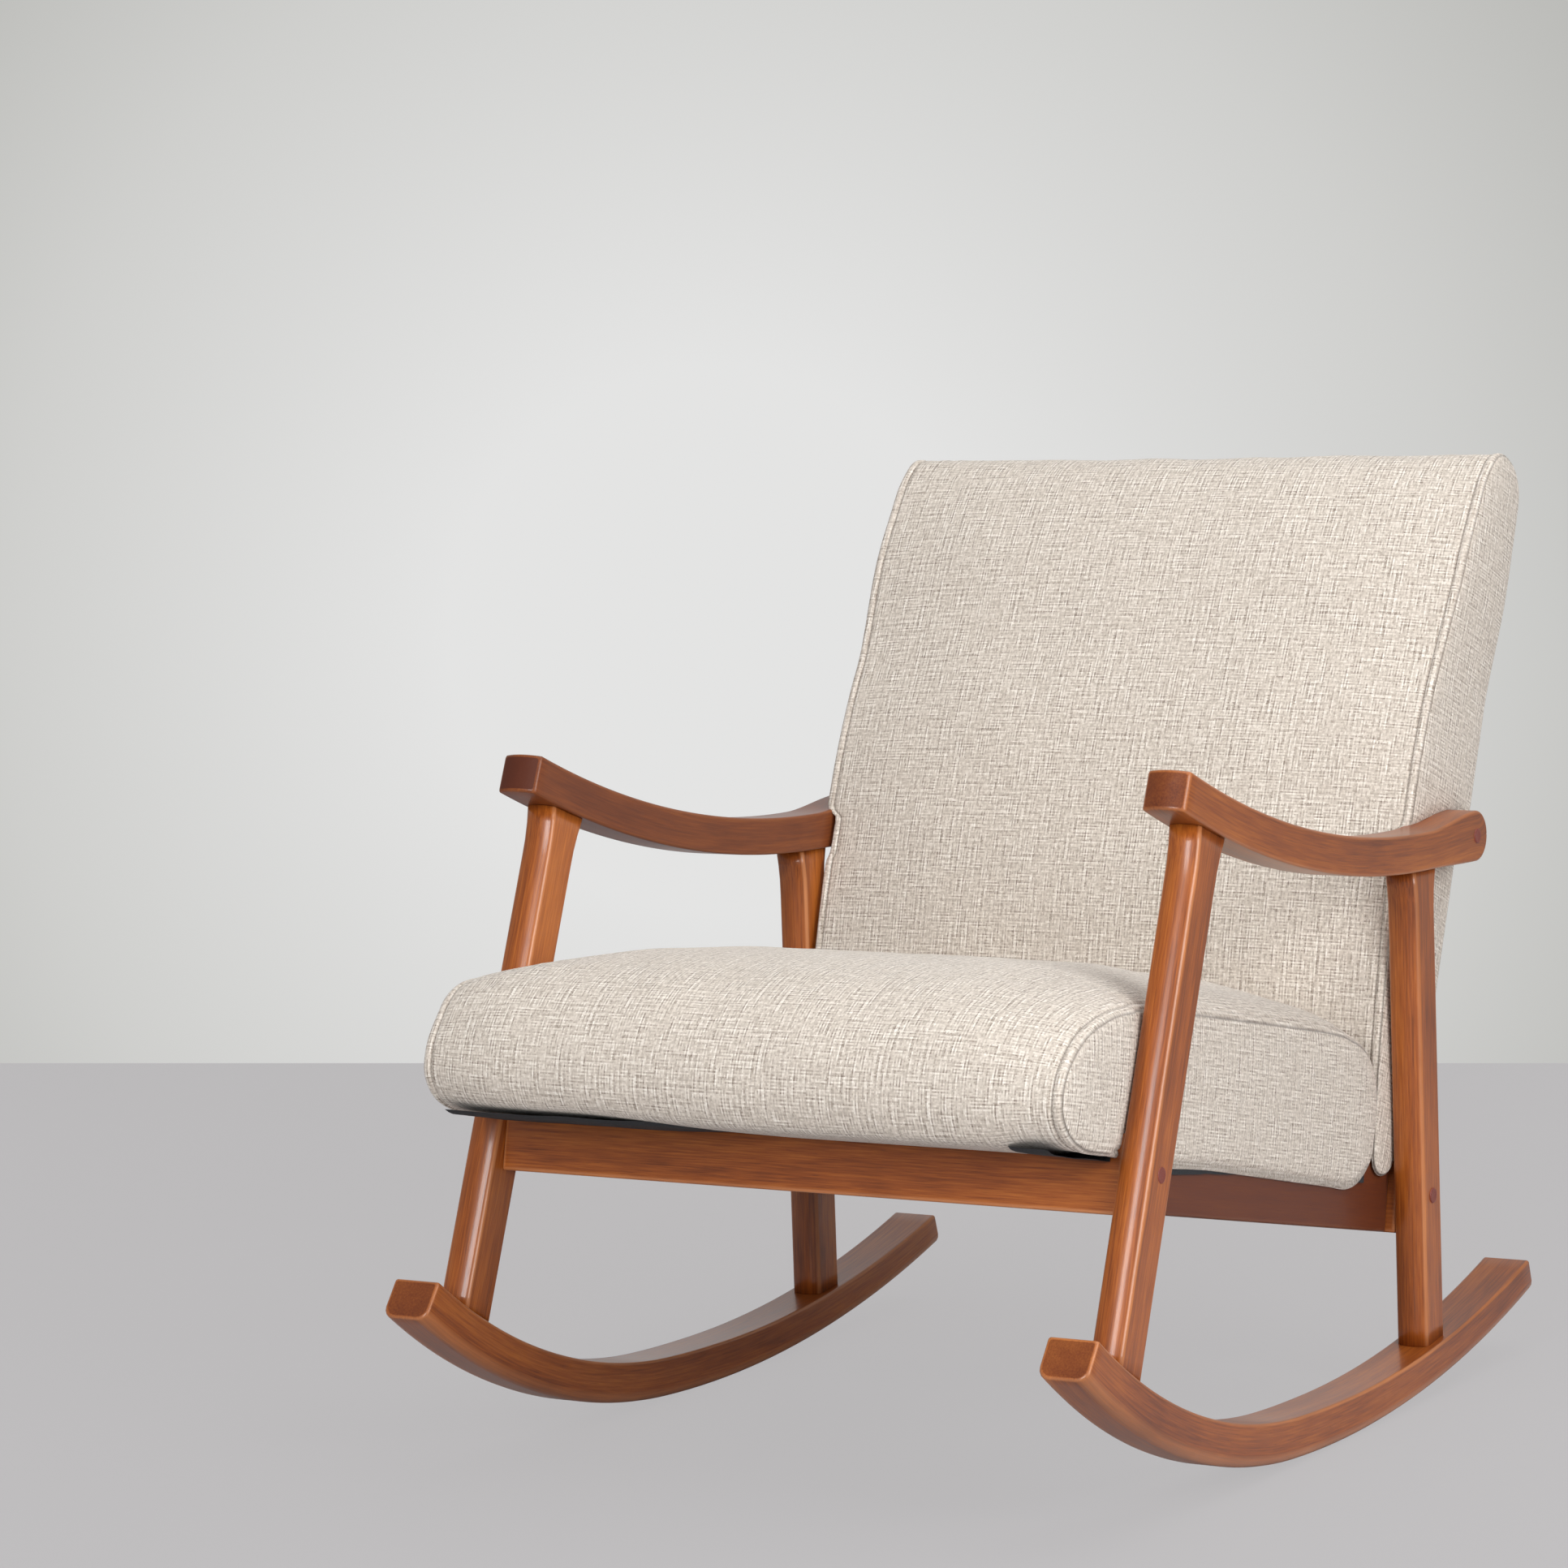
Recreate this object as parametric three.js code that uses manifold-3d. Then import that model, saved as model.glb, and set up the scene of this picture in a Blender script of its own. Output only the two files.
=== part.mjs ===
// Upholstered rocking chair with two bent-wood side frames.
// Millimetres, +Z up, the chair faces -Y, and X = 0 is its plane of symmetry.
// Side views are worked out in (y, z). The chair stands level on the flat that its rockers have under it.

import * as THREE from 'three';
import { mergeVertices } from 'three/addons/utils/BufferGeometryUtils.js';
import Module from 'manifold-3d';

const wasm = await Module();
wasm.setup();

// ---------------------------------------------------------------- driving dimensions

// Clearance between pieces that meet, and the small easing on wooden edges.
const GAP = 0.3;
const EASE = 2.5;

// Side frames: middle of each one, and the widths of its pieces.
const SIDE_FRAME_X = 318;
const ROCKER_WIDTH = 46;
const ARM_WIDTH = 40;
const LEG_WIDTH = 30;

// Rocker: a wide rear arc that turns into a tighter front arc. Angles are in degrees from straight down.
const ROCKER_REAR_RADIUS = 1430;
const ROCKER_FRONT_RADIUS = 700;
const ROCKER_FRONT_DEPTH = 37;
const ROCKER_REAR_DEPTH = 31;
const ROCKER_BOTTOM_ROUNDING = 11;
const REST_ANGLE = 1.1;
const REAR_FACET_ANGLE = 1.7;
const REAR_FACETS_AHEAD = 2;
const REAR_FACETS_BEHIND = 9;
const FRONT_FACET_ANGLE = 3.35;
const FRONT_FACETS = 10;

// Armrest: a hollow arc that dips to its lowest point over the rear leg, then a round rear end.
const ARM_RADIUS = 1230;
const ARM_DEPTH = 34.5;
const ARM_LOW_Y = 215;
const ARM_LOW_TOP_Z = 512.5;
const ARM_FRONT_ANGLE = -22.3;
const ARM_FRONT_CROWN = 5;
const ARM_END_REACH = 100.5;
const ARM_END_RISE = 3.75;
const ARM_END_RADIUS = 23;

// Legs: each stands on the rocker at one angle and meets the armrest at another.
const FRONT_LEG_DEPTH = 37;
const REAR_LEG_DEPTH = 35;
const LEG_CROWN = 4.5;
const LEG_FLARE = 5;
const LEG_FLARE_HEIGHT = 40;
const FRONT_FOOT_ANGLE = -29.7;
const FRONT_HEAD_ANGLE = -19.4;
const REAR_FOOT_ANGLE = 9.1;
const REAR_HEAD_ANGLE = -0.1;

// Dowels at the ends of the legs.
const DOWEL_RADIUS = 5;
const DOWEL_IN_LEG = 20;
const DOWEL_IN_FRAME = 17;

// Bolts, measured from the foot of each leg, with their nuts and caps.
const FRONT_BOLT_HEIGHT = 167;
const REAR_BOLT_HEIGHT = 132.5;
const BOLT_RADIUS = 3;
const BOLT_HEAD_RADIUS = 6;
const BOLT_HEAD_HEIGHT = 4;
const LEG_BOLT_LENGTH = 66;
const CAP_RADIUS = 7;
const CAP_THICKNESS = 3.5;
const CAP_PROUD = 1;
const BARREL_NUT_RADIUS = 5;
const BARREL_NUT_LENGTH = 14;
const NUT_FROM_TIP = 8;

// Rails of the seat frame. The front one reaches a little below the side ones, and the rear bolts pass
// a little above the middle of theirs.
const RAIL_HEIGHT = 64;
const RAIL_THICKNESS = 22;
const FRONT_RAIL_DROP = 3;
const REAR_BOLT_LIFT = 4;
const SIDE_RAIL_INSET = 9;
const CORNER_BLOCK_LEG = 48;
const CORNER_BLOCK_HEIGHT = 40;

// Seat: deck and cushion in the frame's own plane, measured back from the front rail's face and up
// from the rails' lower edge.
const DECK_THICKNESS = 18;
const DECK_OVERHANG = 96;
const BATTEN_DEPTH = 40;
const BATTEN_INSET = 19;
const SEAT_OVERHANG = 115;
const SEAT_REAR = 492;
const SEAT_BOTTOM = 42;
const SEAT_SEAM_HEIGHT = 164.5;
const SEAT_CROWN = 40;
const SEAT_NOSE_CROWN = 12;
const SEAT_LEG_CLEARANCE = 1.5;
const SEAT_SKIRT = 14.5;
const SEAT_NOSE_CORNER = { depth: 118, height: 92 };
const SEAT_LOWER_NOSE_CORNER = { depth: 30, height: 30 };
const SEAT_REAR_CORNER = { depth: 52, height: 48 };
const SEAT_LOWER_REAR_CORNER = { depth: 28, height: 34 };
const DUST_COVER_THICKNESS = 1.2;
const DUST_COVER_MARGIN = 10;

// Back: tilted about the armrests' rear bolts, with its depths measured from their axis.
const BACK_RECLINE = 21.3;
const BACK_REAR_DEPTH = 48;
const BACK_LUMBAR_DEPTH = 74;
const BACK_LUMBAR_HEIGHT = 64;
const BACK_SHOULDER_DEPTH = 55;
const BACK_SHOULDER_HEIGHT = 222;
const BACK_NECK_DEPTH = 17;
const BACK_NECK_HEIGHT = 354;
const BACK_TOP_HEIGHT = 376;
const BACK_TOP_DROP = 36;
const BACK_CROWN = 12;
const BACK_SPREAD = 12;
const BACK_SPREAD_FROM = 60;
const BACK_SPREAD_TO = 125;
const BACK_SKIN = 5.4;
const CHEEK_THICKNESS = 18;
const CHEEK_DEPTH = 76;
const BACK_TOP_PADDING = 66;
const REAR_PANEL_THICKNESS = 3;
const BACK_RAIL_HEIGHT = 50;
const BACK_RAIL_THICKNESS = 22;
const BACK_BOLT_X = 150;
const BACK_BOLT_LENGTH = 76;
const BACK_BOLT_RECESS = 24;
const FLANGE_RADIUS = 9;
const FLANGE_THICKNESS = 1.6;

// ---------------------------------------------------------------- materials

function material(colour, roughness, metalness = 0) {
  return new THREE.MeshStandardMaterial({ color: colour, roughness, metalness });
}

const stainedWood = () => material(0x8a4726, 0.35);
const plainWood = () => material(0xc8a272, 0.7);
const plywood = () => material(0xcdab7c, 0.75);
const hardboard = () => material(0x6f5238, 0.8);
const linen = () => material(0xcfc8bd, 0.95);
const blackCloth = () => material(0x1a1a1c, 0.95);
const zincSteel = () => material(0xa9acae, 0.35, 0.9);
const brownPlastic = () => material(0x6e2f24, 0.45);

// ---------------------------------------------------------------- shape helpers

const radians = THREE.MathUtils.degToRad;

// Point in the side view, at a radius and an angle from straight down around a centre.
function onArc(centre, radius, angle) {
  const turn = radians(angle);
  return new THREE.Vector2(centre.x + radius * Math.sin(turn), centre.y - radius * Math.cos(turn));
}

// Closed surface through rings of equal point count. Point i of a ring faces point n - 1 - i across it.
function loft(rings) {
  const count = rings[0].length;
  const positions = rings.flat().flatMap((point) => [point.x, point.y, point.z]);
  const faces = [];
  const quad = (a, b, c, d) => faces.push(a, b, c, a, c, d);
  for (let ring = 0; ring + 1 < rings.length; ring += 1) {
    for (let i = 0; i < count; i += 1) {
      const next = (i + 1) % count;
      quad(ring * count + i, ring * count + next, (ring + 1) * count + next, (ring + 1) * count + i);
    }
  }
  const last = (rings.length - 1) * count;
  for (let i = 0; i < count / 2 - 1; i += 1) {
    quad(i, count - 1 - i, count - 2 - i, i + 1);
    quad(last + i, last + i + 1, last + count - 2 - i, last + count - 1 - i);
  }
  const geometry = new THREE.BufferGeometry();
  geometry.setAttribute('position', new THREE.Float32BufferAttribute(positions, 3));
  geometry.setIndex(signedVolume(positions, faces) > 0 ? faces : faces.reverse());
  geometry.computeVertexNormals();
  return geometry;
}

function signedVolume(positions, faces) {
  const corner = (index) => new THREE.Vector3().fromArray(positions, 3 * faces[index]);
  let volume = 0;
  for (let i = 0; i < faces.length; i += 3) {
    volume += corner(i).dot(corner(i + 1).cross(corner(i + 2))) / 6;
  }
  return volume;
}

function toSolid(geometry) {
  const bare = geometry.clone();
  bare.deleteAttribute('normal');
  bare.deleteAttribute('uv');
  const merged = mergeVertices(bare, 1e-3);
  return new wasm.Manifold(new wasm.Mesh({
    numProp: 3,
    vertProperties: new Float32Array(merged.attributes.position.array),
    triVerts: new Uint32Array(merged.index.array),
  }));
}

function toGeometry(solid) {
  const mesh = solid.getMesh();
  const geometry = new THREE.BufferGeometry();
  geometry.setAttribute('position', new THREE.BufferAttribute(mesh.vertProperties, 3));
  geometry.setIndex(new THREE.BufferAttribute(mesh.triVerts, 1));
  geometry.computeVertexNormals();
  return geometry;
}

function cut(geometry, cutters) {
  return toGeometry(cutters.reduce((solid, cutter) => solid.subtract(toSolid(cutter)), toSolid(geometry)));
}

// Box between two corners.
function box(low, high) {
  const size = high.map((value, axis) => value - low[axis]);
  const middle = high.map((value, axis) => (value + low[axis]) / 2);
  return new THREE.BoxGeometry(...size).translate(...middle);
}

// Round bar between two points.
function bar(from, to, radius, sides = 12) {
  const along = new THREE.Vector3().subVectors(to, from);
  const axis = along.clone().normalize();
  const turn = new THREE.Quaternion().setFromUnitVectors(new THREE.Vector3(0, 1, 0), axis);
  return new THREE.CylinderGeometry(radius, radius, along.length(), sides)
    .applyQuaternion(turn)
    .translate((from.x + to.x) / 2, (from.y + to.y) / 2, (from.z + to.z) / 2);
}

// Bolt along +X with the underside of its head at the origin: a domed head and a plain shank.
function boltGeometry(length) {
  const profile = [
    [0, -length],
    [BOLT_RADIUS - 0.6, -length],
    [BOLT_RADIUS, -length + 1.2],
    [BOLT_RADIUS, 0],
    [BOLT_HEAD_RADIUS, 0],
    [BOLT_HEAD_RADIUS, BOLT_HEAD_HEIGHT - 1.2],
    [BOLT_HEAD_RADIUS - 1.4, BOLT_HEAD_HEIGHT],
    [0, BOLT_HEAD_HEIGHT],
  ];
  const points = profile.map(([radius, height]) => new THREE.Vector2(radius, height));
  return new THREE.LatheGeometry(points, 12).rotateZ(-Math.PI / 2);
}

// Cap that closes a bolt's recess: its rim is eased, and its face points along +X from the origin.
function capGeometry() {
  const rim = 0.8;
  const profile = [
    [0, -CAP_THICKNESS],
    [CAP_RADIUS, -CAP_THICKNESS],
    [CAP_RADIUS, -rim],
    [CAP_RADIUS - rim, 0],
    [0, 0],
  ];
  const points = profile.map(([radius, height]) => new THREE.Vector2(radius, height));
  return new THREE.LatheGeometry(points, 20).rotateZ(-Math.PI / 2);
}

// Barrel nut around the origin with its own length along Y and a cross hole along X.
function barrelNutGeometry() {
  const half = BARREL_NUT_LENGTH / 2;
  const barrel = bar(new THREE.Vector3(0, -half, 0), new THREE.Vector3(0, half, 0), BARREL_NUT_RADIUS);
  const reach = 2 * BARREL_NUT_RADIUS;
  const hole = bar(new THREE.Vector3(-reach, 0, 0), new THREE.Vector3(reach, 0, 0), BOLT_RADIUS + GAP);
  return cut(barrel, [hole]);
}

// ---------------------------------------------------------------- the scene graph

const chair = new THREE.Group();

function add(name, geometry, look, parent = chair) {
  const mesh = new THREE.Mesh(geometry, look);
  mesh.name = name;
  parent.add(mesh);
  return mesh;
}

const SIDES = [
  { label: 'left', sign: -1 },
  { label: 'right', sign: 1 },
];

// ---------------------------------------------------------------- rockers

const rearArcFrom = REST_ANGLE - (REAR_FACETS_AHEAD + 0.5) * REAR_FACET_ANGLE;
const rearArcTo = REST_ANGLE + (REAR_FACETS_BEHIND + 0.5) * REAR_FACET_ANGLE;
const rearArcCentre = new THREE.Vector2(0, ROCKER_REAR_RADIUS);
const frontArcCentre = onArc(rearArcCentre, ROCKER_REAR_RADIUS - ROCKER_FRONT_RADIUS, rearArcFrom);

function rockerDepth(angle) {
  const share = THREE.MathUtils.clamp(angle / rearArcTo, 0, 1);
  return THREE.MathUtils.lerp(ROCKER_FRONT_DEPTH, ROCKER_REAR_DEPTH, share);
}

// Point of the rocker at an angle, a given height above its running face.
function rockerPoint(angle, height) {
  return angle < rearArcFrom
    ? onArc(frontArcCentre, ROCKER_FRONT_RADIUS - height, angle)
    : onArc(rearArcCentre, ROCKER_REAR_RADIUS - height, angle);
}

// Half of the rocker's section, from the middle of the running face up to the top edge: [x, height].
function rockerHalfSection(halfWidth, depth, rounding, ease) {
  const flat = halfWidth - rounding;
  const corner = [0, 30, 60, 90].map((turn) => [
    flat + rounding * Math.sin(radians(turn)),
    rounding * (1 - Math.cos(radians(turn))),
  ]);
  return [...corner, [halfWidth, depth - ease], [halfWidth - ease, depth]];
}

function rockerGeometry(halfWidth, extraDepth, rounding, ease) {
  const angles = [];
  for (let i = 0; i < FRONT_FACETS; i += 1) {
    angles.push(rearArcFrom - (FRONT_FACETS - i) * FRONT_FACET_ANGLE);
  }
  const rearFacets = REAR_FACETS_AHEAD + REAR_FACETS_BEHIND + 1;
  for (let i = 0; i <= rearFacets; i += 1) {
    angles.push(rearArcFrom + i * REAR_FACET_ANGLE);
  }
  const rings = angles.map((angle) => {
    const half = rockerHalfSection(halfWidth, rockerDepth(angle) + extraDepth, rounding, ease);
    const mirrored = half.map(([x, height]) => [-x, height]).reverse();
    return [...half, ...mirrored].map(([x, height]) => {
      const point = rockerPoint(angle, height);
      return new THREE.Vector3(x, point.x, point.y);
    });
  });
  return loft(rings);
}

// ---------------------------------------------------------------- armrests

const armCentre = new THREE.Vector2(ARM_LOW_Y, ARM_LOW_TOP_Z + ARM_RADIUS);
const armEnd = new THREE.Vector2(ARM_LOW_Y + ARM_END_REACH, ARM_LOW_TOP_Z - ARM_DEPTH / 2 + ARM_END_RISE);

// Top and bottom of the armrest at each station from its front to its round rear end.
function armStations(extraDepth) {
  const stations = [];
  const arcSteps = 9;
  for (let i = 0; i <= arcSteps; i += 1) {
    const angle = ARM_FRONT_ANGLE * (1 - i / arcSteps);
    const top = onArc(armCentre, ARM_RADIUS, angle);
    const bottom = onArc(armCentre, ARM_RADIUS + ARM_DEPTH + extraDepth, angle);
    stations.push({ top, bottom });
  }
  const rearSteps = 4;
  for (let i = 1; i <= rearSteps; i += 1) {
    const share = i / rearSteps;
    const y = ARM_LOW_Y + share * ARM_END_REACH;
    const blend = THREE.MathUtils.smoothstep(share, 0, 1);
    const topZ = THREE.MathUtils.lerp(ARM_LOW_TOP_Z, armEnd.y + ARM_END_RADIUS, blend);
    const bottomZ = THREE.MathUtils.lerp(ARM_LOW_TOP_Z - ARM_DEPTH, armEnd.y - ARM_END_RADIUS, blend);
    stations.push({ top: new THREE.Vector2(y, topZ), bottom: new THREE.Vector2(y, bottomZ - extraDepth) });
  }
  for (const turn of [18, 36, 54, 70, 84]) {
    const y = armEnd.x + ARM_END_RADIUS * Math.sin(radians(turn));
    const rise = ARM_END_RADIUS * Math.cos(radians(turn));
    stations.push({
      top: new THREE.Vector2(y, armEnd.y + rise),
      bottom: new THREE.Vector2(y, armEnd.y - rise - extraDepth),
    });
  }
  return stations;
}

function armGeometry(halfWidth, extraDepth = 0) {
  const across = [-1, -(1 - EASE / halfWidth), -0.45, 0, 0.45, 1 - EASE / halfWidth, 1];
  const rings = armStations(extraDepth).map(({ top, bottom }, station) => {
    const down = new THREE.Vector2().subVectors(bottom, top);
    const ease = Math.min(EASE, down.length() / 4);
    down.normalize();
    const forward = new THREE.Vector2(down.y, -down.x);
    const crown = station === 0 ? ARM_FRONT_CROWN : 0;
    const place = (start, share, inward) => {
      const point = start.clone().addScaledVector(down, inward);
      point.addScaledVector(forward, crown * (1 - share * share));
      return new THREE.Vector3(share * halfWidth, point.x, point.y);
    };
    const inset = (share) => (Math.abs(share) === 1 ? ease : 0);
    const over = across.map((share) => place(top, share, inset(share)));
    const under = across.map((share) => place(bottom, share, -inset(share)));
    return [...over, ...under.reverse()];
  });
  return loft(rings);
}

// ---------------------------------------------------------------- legs

// Each leg runs along the straight line from its foot on the rocker to its head under the armrest.
function legLine(footAngle, headAngle, depth, boltHeight) {
  const foot = rockerPoint(footAngle, rockerDepth(footAngle));
  const head = onArc(armCentre, ARM_RADIUS + ARM_DEPTH, headAngle);
  const along = new THREE.Vector2().subVectors(head, foot);
  const length = along.length();
  along.normalize();
  return { foot, head, along, length, depth, bolt: foot.clone().addScaledVector(along, boltHeight) };
}

const frontLeg = legLine(FRONT_FOOT_ANGLE, FRONT_HEAD_ANGLE, FRONT_LEG_DEPTH, FRONT_BOLT_HEIGHT);
const rearLeg = legLine(REAR_FOOT_ANGLE, REAR_HEAD_ANGLE, REAR_LEG_DEPTH, REAR_BOLT_HEIGHT);

// Point at a distance along a leg and a distance behind its middle line.
function legPoint(leg, x, along, behind) {
  const y = leg.foot.x + leg.along.x * along + leg.along.y * behind;
  const z = leg.foot.y + leg.along.y * along - leg.along.x * behind;
  return new THREE.Vector3(x, y, z);
}

// Ring of a leg's section: a crowned front face and a flat rear face with eased edges.
function legRing(leg, along, flare) {
  const half = LEG_WIDTH / 2;
  const edge = leg.depth / 2 + flare;
  const crowned = (share) => [share * half, -edge - LEG_CROWN * (1 - share * share)];
  const front = [-1, -0.6, 0, 0.6, 1].map(crowned);
  const rear = [
    [half, edge - EASE],
    [half - EASE, edge],
    [0, edge],
    [EASE - half, edge],
    [-half, edge - EASE],
  ];
  return [...front, ...rear].map(([x, behind]) => legPoint(leg, x, along, behind));
}

function legBlank(leg) {
  const buried = 12;
  const flareFrom = leg.length - LEG_FLARE_HEIGHT;
  const rings = [legRing(leg, -buried, 0)];
  const steps = 4;
  for (let i = 0; i <= steps; i += 1) {
    const share = i / steps;
    rings.push(legRing(leg, flareFrom + share * LEG_FLARE_HEIGHT, LEG_FLARE * share * share));
  }
  rings.push(legRing(leg, leg.length + buried, LEG_FLARE));
  return loft(rings);
}

// The leg's ends are scribed to the rocker and to the armrest, with the clearance between them.
const rockerScribe = rockerGeometry(ROCKER_WIDTH, GAP, EASE, EASE);
const armScribe = armGeometry(ARM_WIDTH, GAP);

function legDowels(leg) {
  return [
    { label: 'foot', from: -DOWEL_IN_FRAME, to: DOWEL_IN_LEG },
    { label: 'head', from: leg.length - DOWEL_IN_LEG, to: leg.length + DOWEL_IN_FRAME },
  ];
}

function dowelBar(leg, dowel, clearance) {
  const from = legPoint(leg, 0, dowel.from - clearance, 0);
  const to = legPoint(leg, 0, dowel.to + clearance, 0);
  return bar(from, to, DOWEL_RADIUS + clearance);
}

// Hole and recess for a bolt that enters a side-frame piece from outside along X, around its middle.
function boltHole(point, sign, width) {
  const face = sign * width / 2;
  const floor = face - sign * (CAP_THICKNESS - CAP_PROUD + BOLT_HEAD_HEIGHT + 2 * GAP);
  const outside = new THREE.Vector3(face + sign * EASE, point.x, point.y);
  return [
    bar(new THREE.Vector3(floor, point.x, point.y), outside, CAP_RADIUS + GAP, 20),
    bar(new THREE.Vector3(-face - sign * EASE, point.x, point.y), outside, BOLT_RADIUS + GAP),
  ];
}

function legGeometry(leg, sign) {
  return cut(legBlank(leg), [
    rockerScribe,
    armScribe,
    ...legDowels(leg).map((dowel) => dowelBar(leg, dowel, GAP)),
    ...boltHole(leg.bolt, sign, LEG_WIDTH),
  ]);
}

// ---------------------------------------------------------------- side frames

const LEGS = { front: frontLeg, rear: rearLeg };

for (const { label, sign } of SIDES) {
  const frame = new THREE.Group();
  frame.position.x = sign * SIDE_FRAME_X;
  chair.add(frame);

  const allDowels = Object.values(LEGS).flatMap((leg) => legDowels(leg).map((dowel) => ({ leg, dowel })));
  const footHoles = allDowels.filter(({ dowel }) => dowel.label === 'foot');
  const headHoles = allDowels.filter(({ dowel }) => dowel.label === 'head');
  const holes = (list) => list.map(({ leg, dowel }) => dowelBar(leg, dowel, GAP));

  const rocker = rockerGeometry(ROCKER_WIDTH / 2, 0, ROCKER_BOTTOM_ROUNDING, EASE);
  add(`rocker_${label}`, cut(rocker, holes(footHoles)), stainedWood(), frame);

  const armCuts = [...holes(headHoles), ...boltHole(armEnd, sign, ARM_WIDTH)];
  add(`armrest_${label}`, cut(armGeometry(ARM_WIDTH / 2), armCuts), stainedWood(), frame);

  for (const [place, leg] of Object.entries(LEGS)) {
    add(`${place}_leg_${label}`, legGeometry(leg, sign), stainedWood(), frame);
    for (const dowel of legDowels(leg)) {
      add(`${place}_leg_${dowel.label}_dowel_${label}`, dowelBar(leg, dowel, 0), plainWood(), frame);
    }
  }
}

// Bolt, with its cap, that enters a side-frame piece of a given width from outside.
function addBolt(name, point, side, width, length) {
  const face = side.sign * (SIDE_FRAME_X + width / 2);
  const capFace = face + side.sign * CAP_PROUD;
  const headUnder = capFace - side.sign * (CAP_THICKNESS + GAP + BOLT_HEAD_HEIGHT);
  const bolt = add(`${name}_bolt_${side.label}`, boltGeometry(length), zincSteel());
  bolt.position.set(headUnder, point.x, point.y);
  const cap = add(`${name}_cap_${side.label}`, capGeometry(), brownPlastic());
  cap.position.set(capFace, point.x, point.y);
  if (side.sign < 0) {
    bolt.rotation.z = Math.PI;
    cap.rotation.z = Math.PI;
  }
  return headUnder - side.sign * length;
}

// ---------------------------------------------------------------- seat frame

// The seat frame hangs on the leg bolts, so its plane and its depth follow them. Its own axes are
// X, Y back along the rails and Z up from their lower edge.
const boltSpan = new THREE.Vector2().subVectors(rearLeg.bolt, frontLeg.bolt);
const seatTilt = Math.atan2(-boltSpan.y, boltSpan.x) + Math.asin(REAR_BOLT_LIFT / boltSpan.length());
const seatFrame = new THREE.Group();
seatFrame.rotation.x = -seatTilt;
seatFrame.position.set(
  0,
  frontLeg.bolt.x - (RAIL_THICKNESS / 2) * Math.cos(seatTilt) - (RAIL_HEIGHT / 2) * Math.sin(seatTilt),
  frontLeg.bolt.y + (RAIL_THICKNESS / 2) * Math.sin(seatTilt) - (RAIL_HEIGHT / 2) * Math.cos(seatTilt),
);
chair.add(seatFrame);
seatFrame.updateMatrix();

const legInnerX = SIDE_FRAME_X - LEG_WIDTH / 2;
const sideRailOuterX = legInnerX - SIDE_RAIL_INSET;
const sideRailInnerX = sideRailOuterX - RAIL_THICKNESS;
const rearRailY = Math.sqrt(boltSpan.lengthSq() - REAR_BOLT_LIFT ** 2);
const CROSS_RAILS = {
  front: { y: 0, bottom: -FRONT_RAIL_DROP, boltZ: RAIL_HEIGHT / 2, nutMouth: 1 },
  rear: { y: rearRailY, bottom: 0, boltZ: RAIL_HEIGHT / 2 + REAR_BOLT_LIFT, nutMouth: -1 },
};

// Barrel nuts lie across the front and rear rails, near the tips of the leg bolts.
const legBoltHeadX = legInnerX + LEG_WIDTH + CAP_PROUD - CAP_THICKNESS - GAP - BOLT_HEAD_HEIGHT;
const legBoltTipX = legBoltHeadX - LEG_BOLT_LENGTH;
const barrelNutX = legBoltTipX + NUT_FROM_TIP;

function crossRail({ y, bottom, boltZ, nutMouth }) {
  const middle = y + RAIL_THICKNESS / 2;
  const cutters = SIDES.flatMap(({ sign }) => {
    const outside = new THREE.Vector3(sign * (legInnerX + 1), middle, boltZ);
    const inside = new THREE.Vector3(sign * (legBoltTipX - GAP), middle, boltZ);
    const nutFrom = middle - nutMouth * (BARREL_NUT_LENGTH / 2 + GAP);
    const nutTo = middle + nutMouth * (RAIL_THICKNESS / 2 + 1);
    const nutStart = new THREE.Vector3(sign * barrelNutX, nutFrom, boltZ);
    const nutEnd = new THREE.Vector3(sign * barrelNutX, nutTo, boltZ);
    return [bar(inside, outside, BOLT_RADIUS + GAP), bar(nutStart, nutEnd, BARREL_NUT_RADIUS + GAP)];
  });
  return { blank: box([-legInnerX, y, bottom], [legInnerX, y + RAIL_THICKNESS, RAIL_HEIGHT]), cutters };
}

// Upright holes through the rear rail for the two bolts that hold the back's bottom rail down.
function backBoltHoles() {
  const y = rearRailY + RAIL_THICKNESS / 2;
  const tipZ = BACK_BOLT_RECESS + BACK_BOLT_LENGTH + GAP;
  return SIDES.flatMap(({ sign }) => {
    const x = sign * BACK_BOLT_X;
    const below = new THREE.Vector3(x, y, -1);
    const seat = new THREE.Vector3(x, y, BACK_BOLT_RECESS);
    const tip = new THREE.Vector3(x, y, tipZ);
    return [bar(below, seat, BOLT_HEAD_RADIUS + GAP), bar(below, tip, BOLT_RADIUS + GAP)];
  });
}

const frontRail = crossRail(CROSS_RAILS.front);
add('front_rail', cut(frontRail.blank, frontRail.cutters), stainedWood(), seatFrame);
const rearRail = crossRail(CROSS_RAILS.rear);
add('rear_rail', cut(rearRail.blank, [...rearRail.cutters, ...backBoltHoles()]), stainedWood(), seatFrame);

const insideFrontY = RAIL_THICKNESS + GAP;
const insideRearY = rearRailY - GAP;

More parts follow.
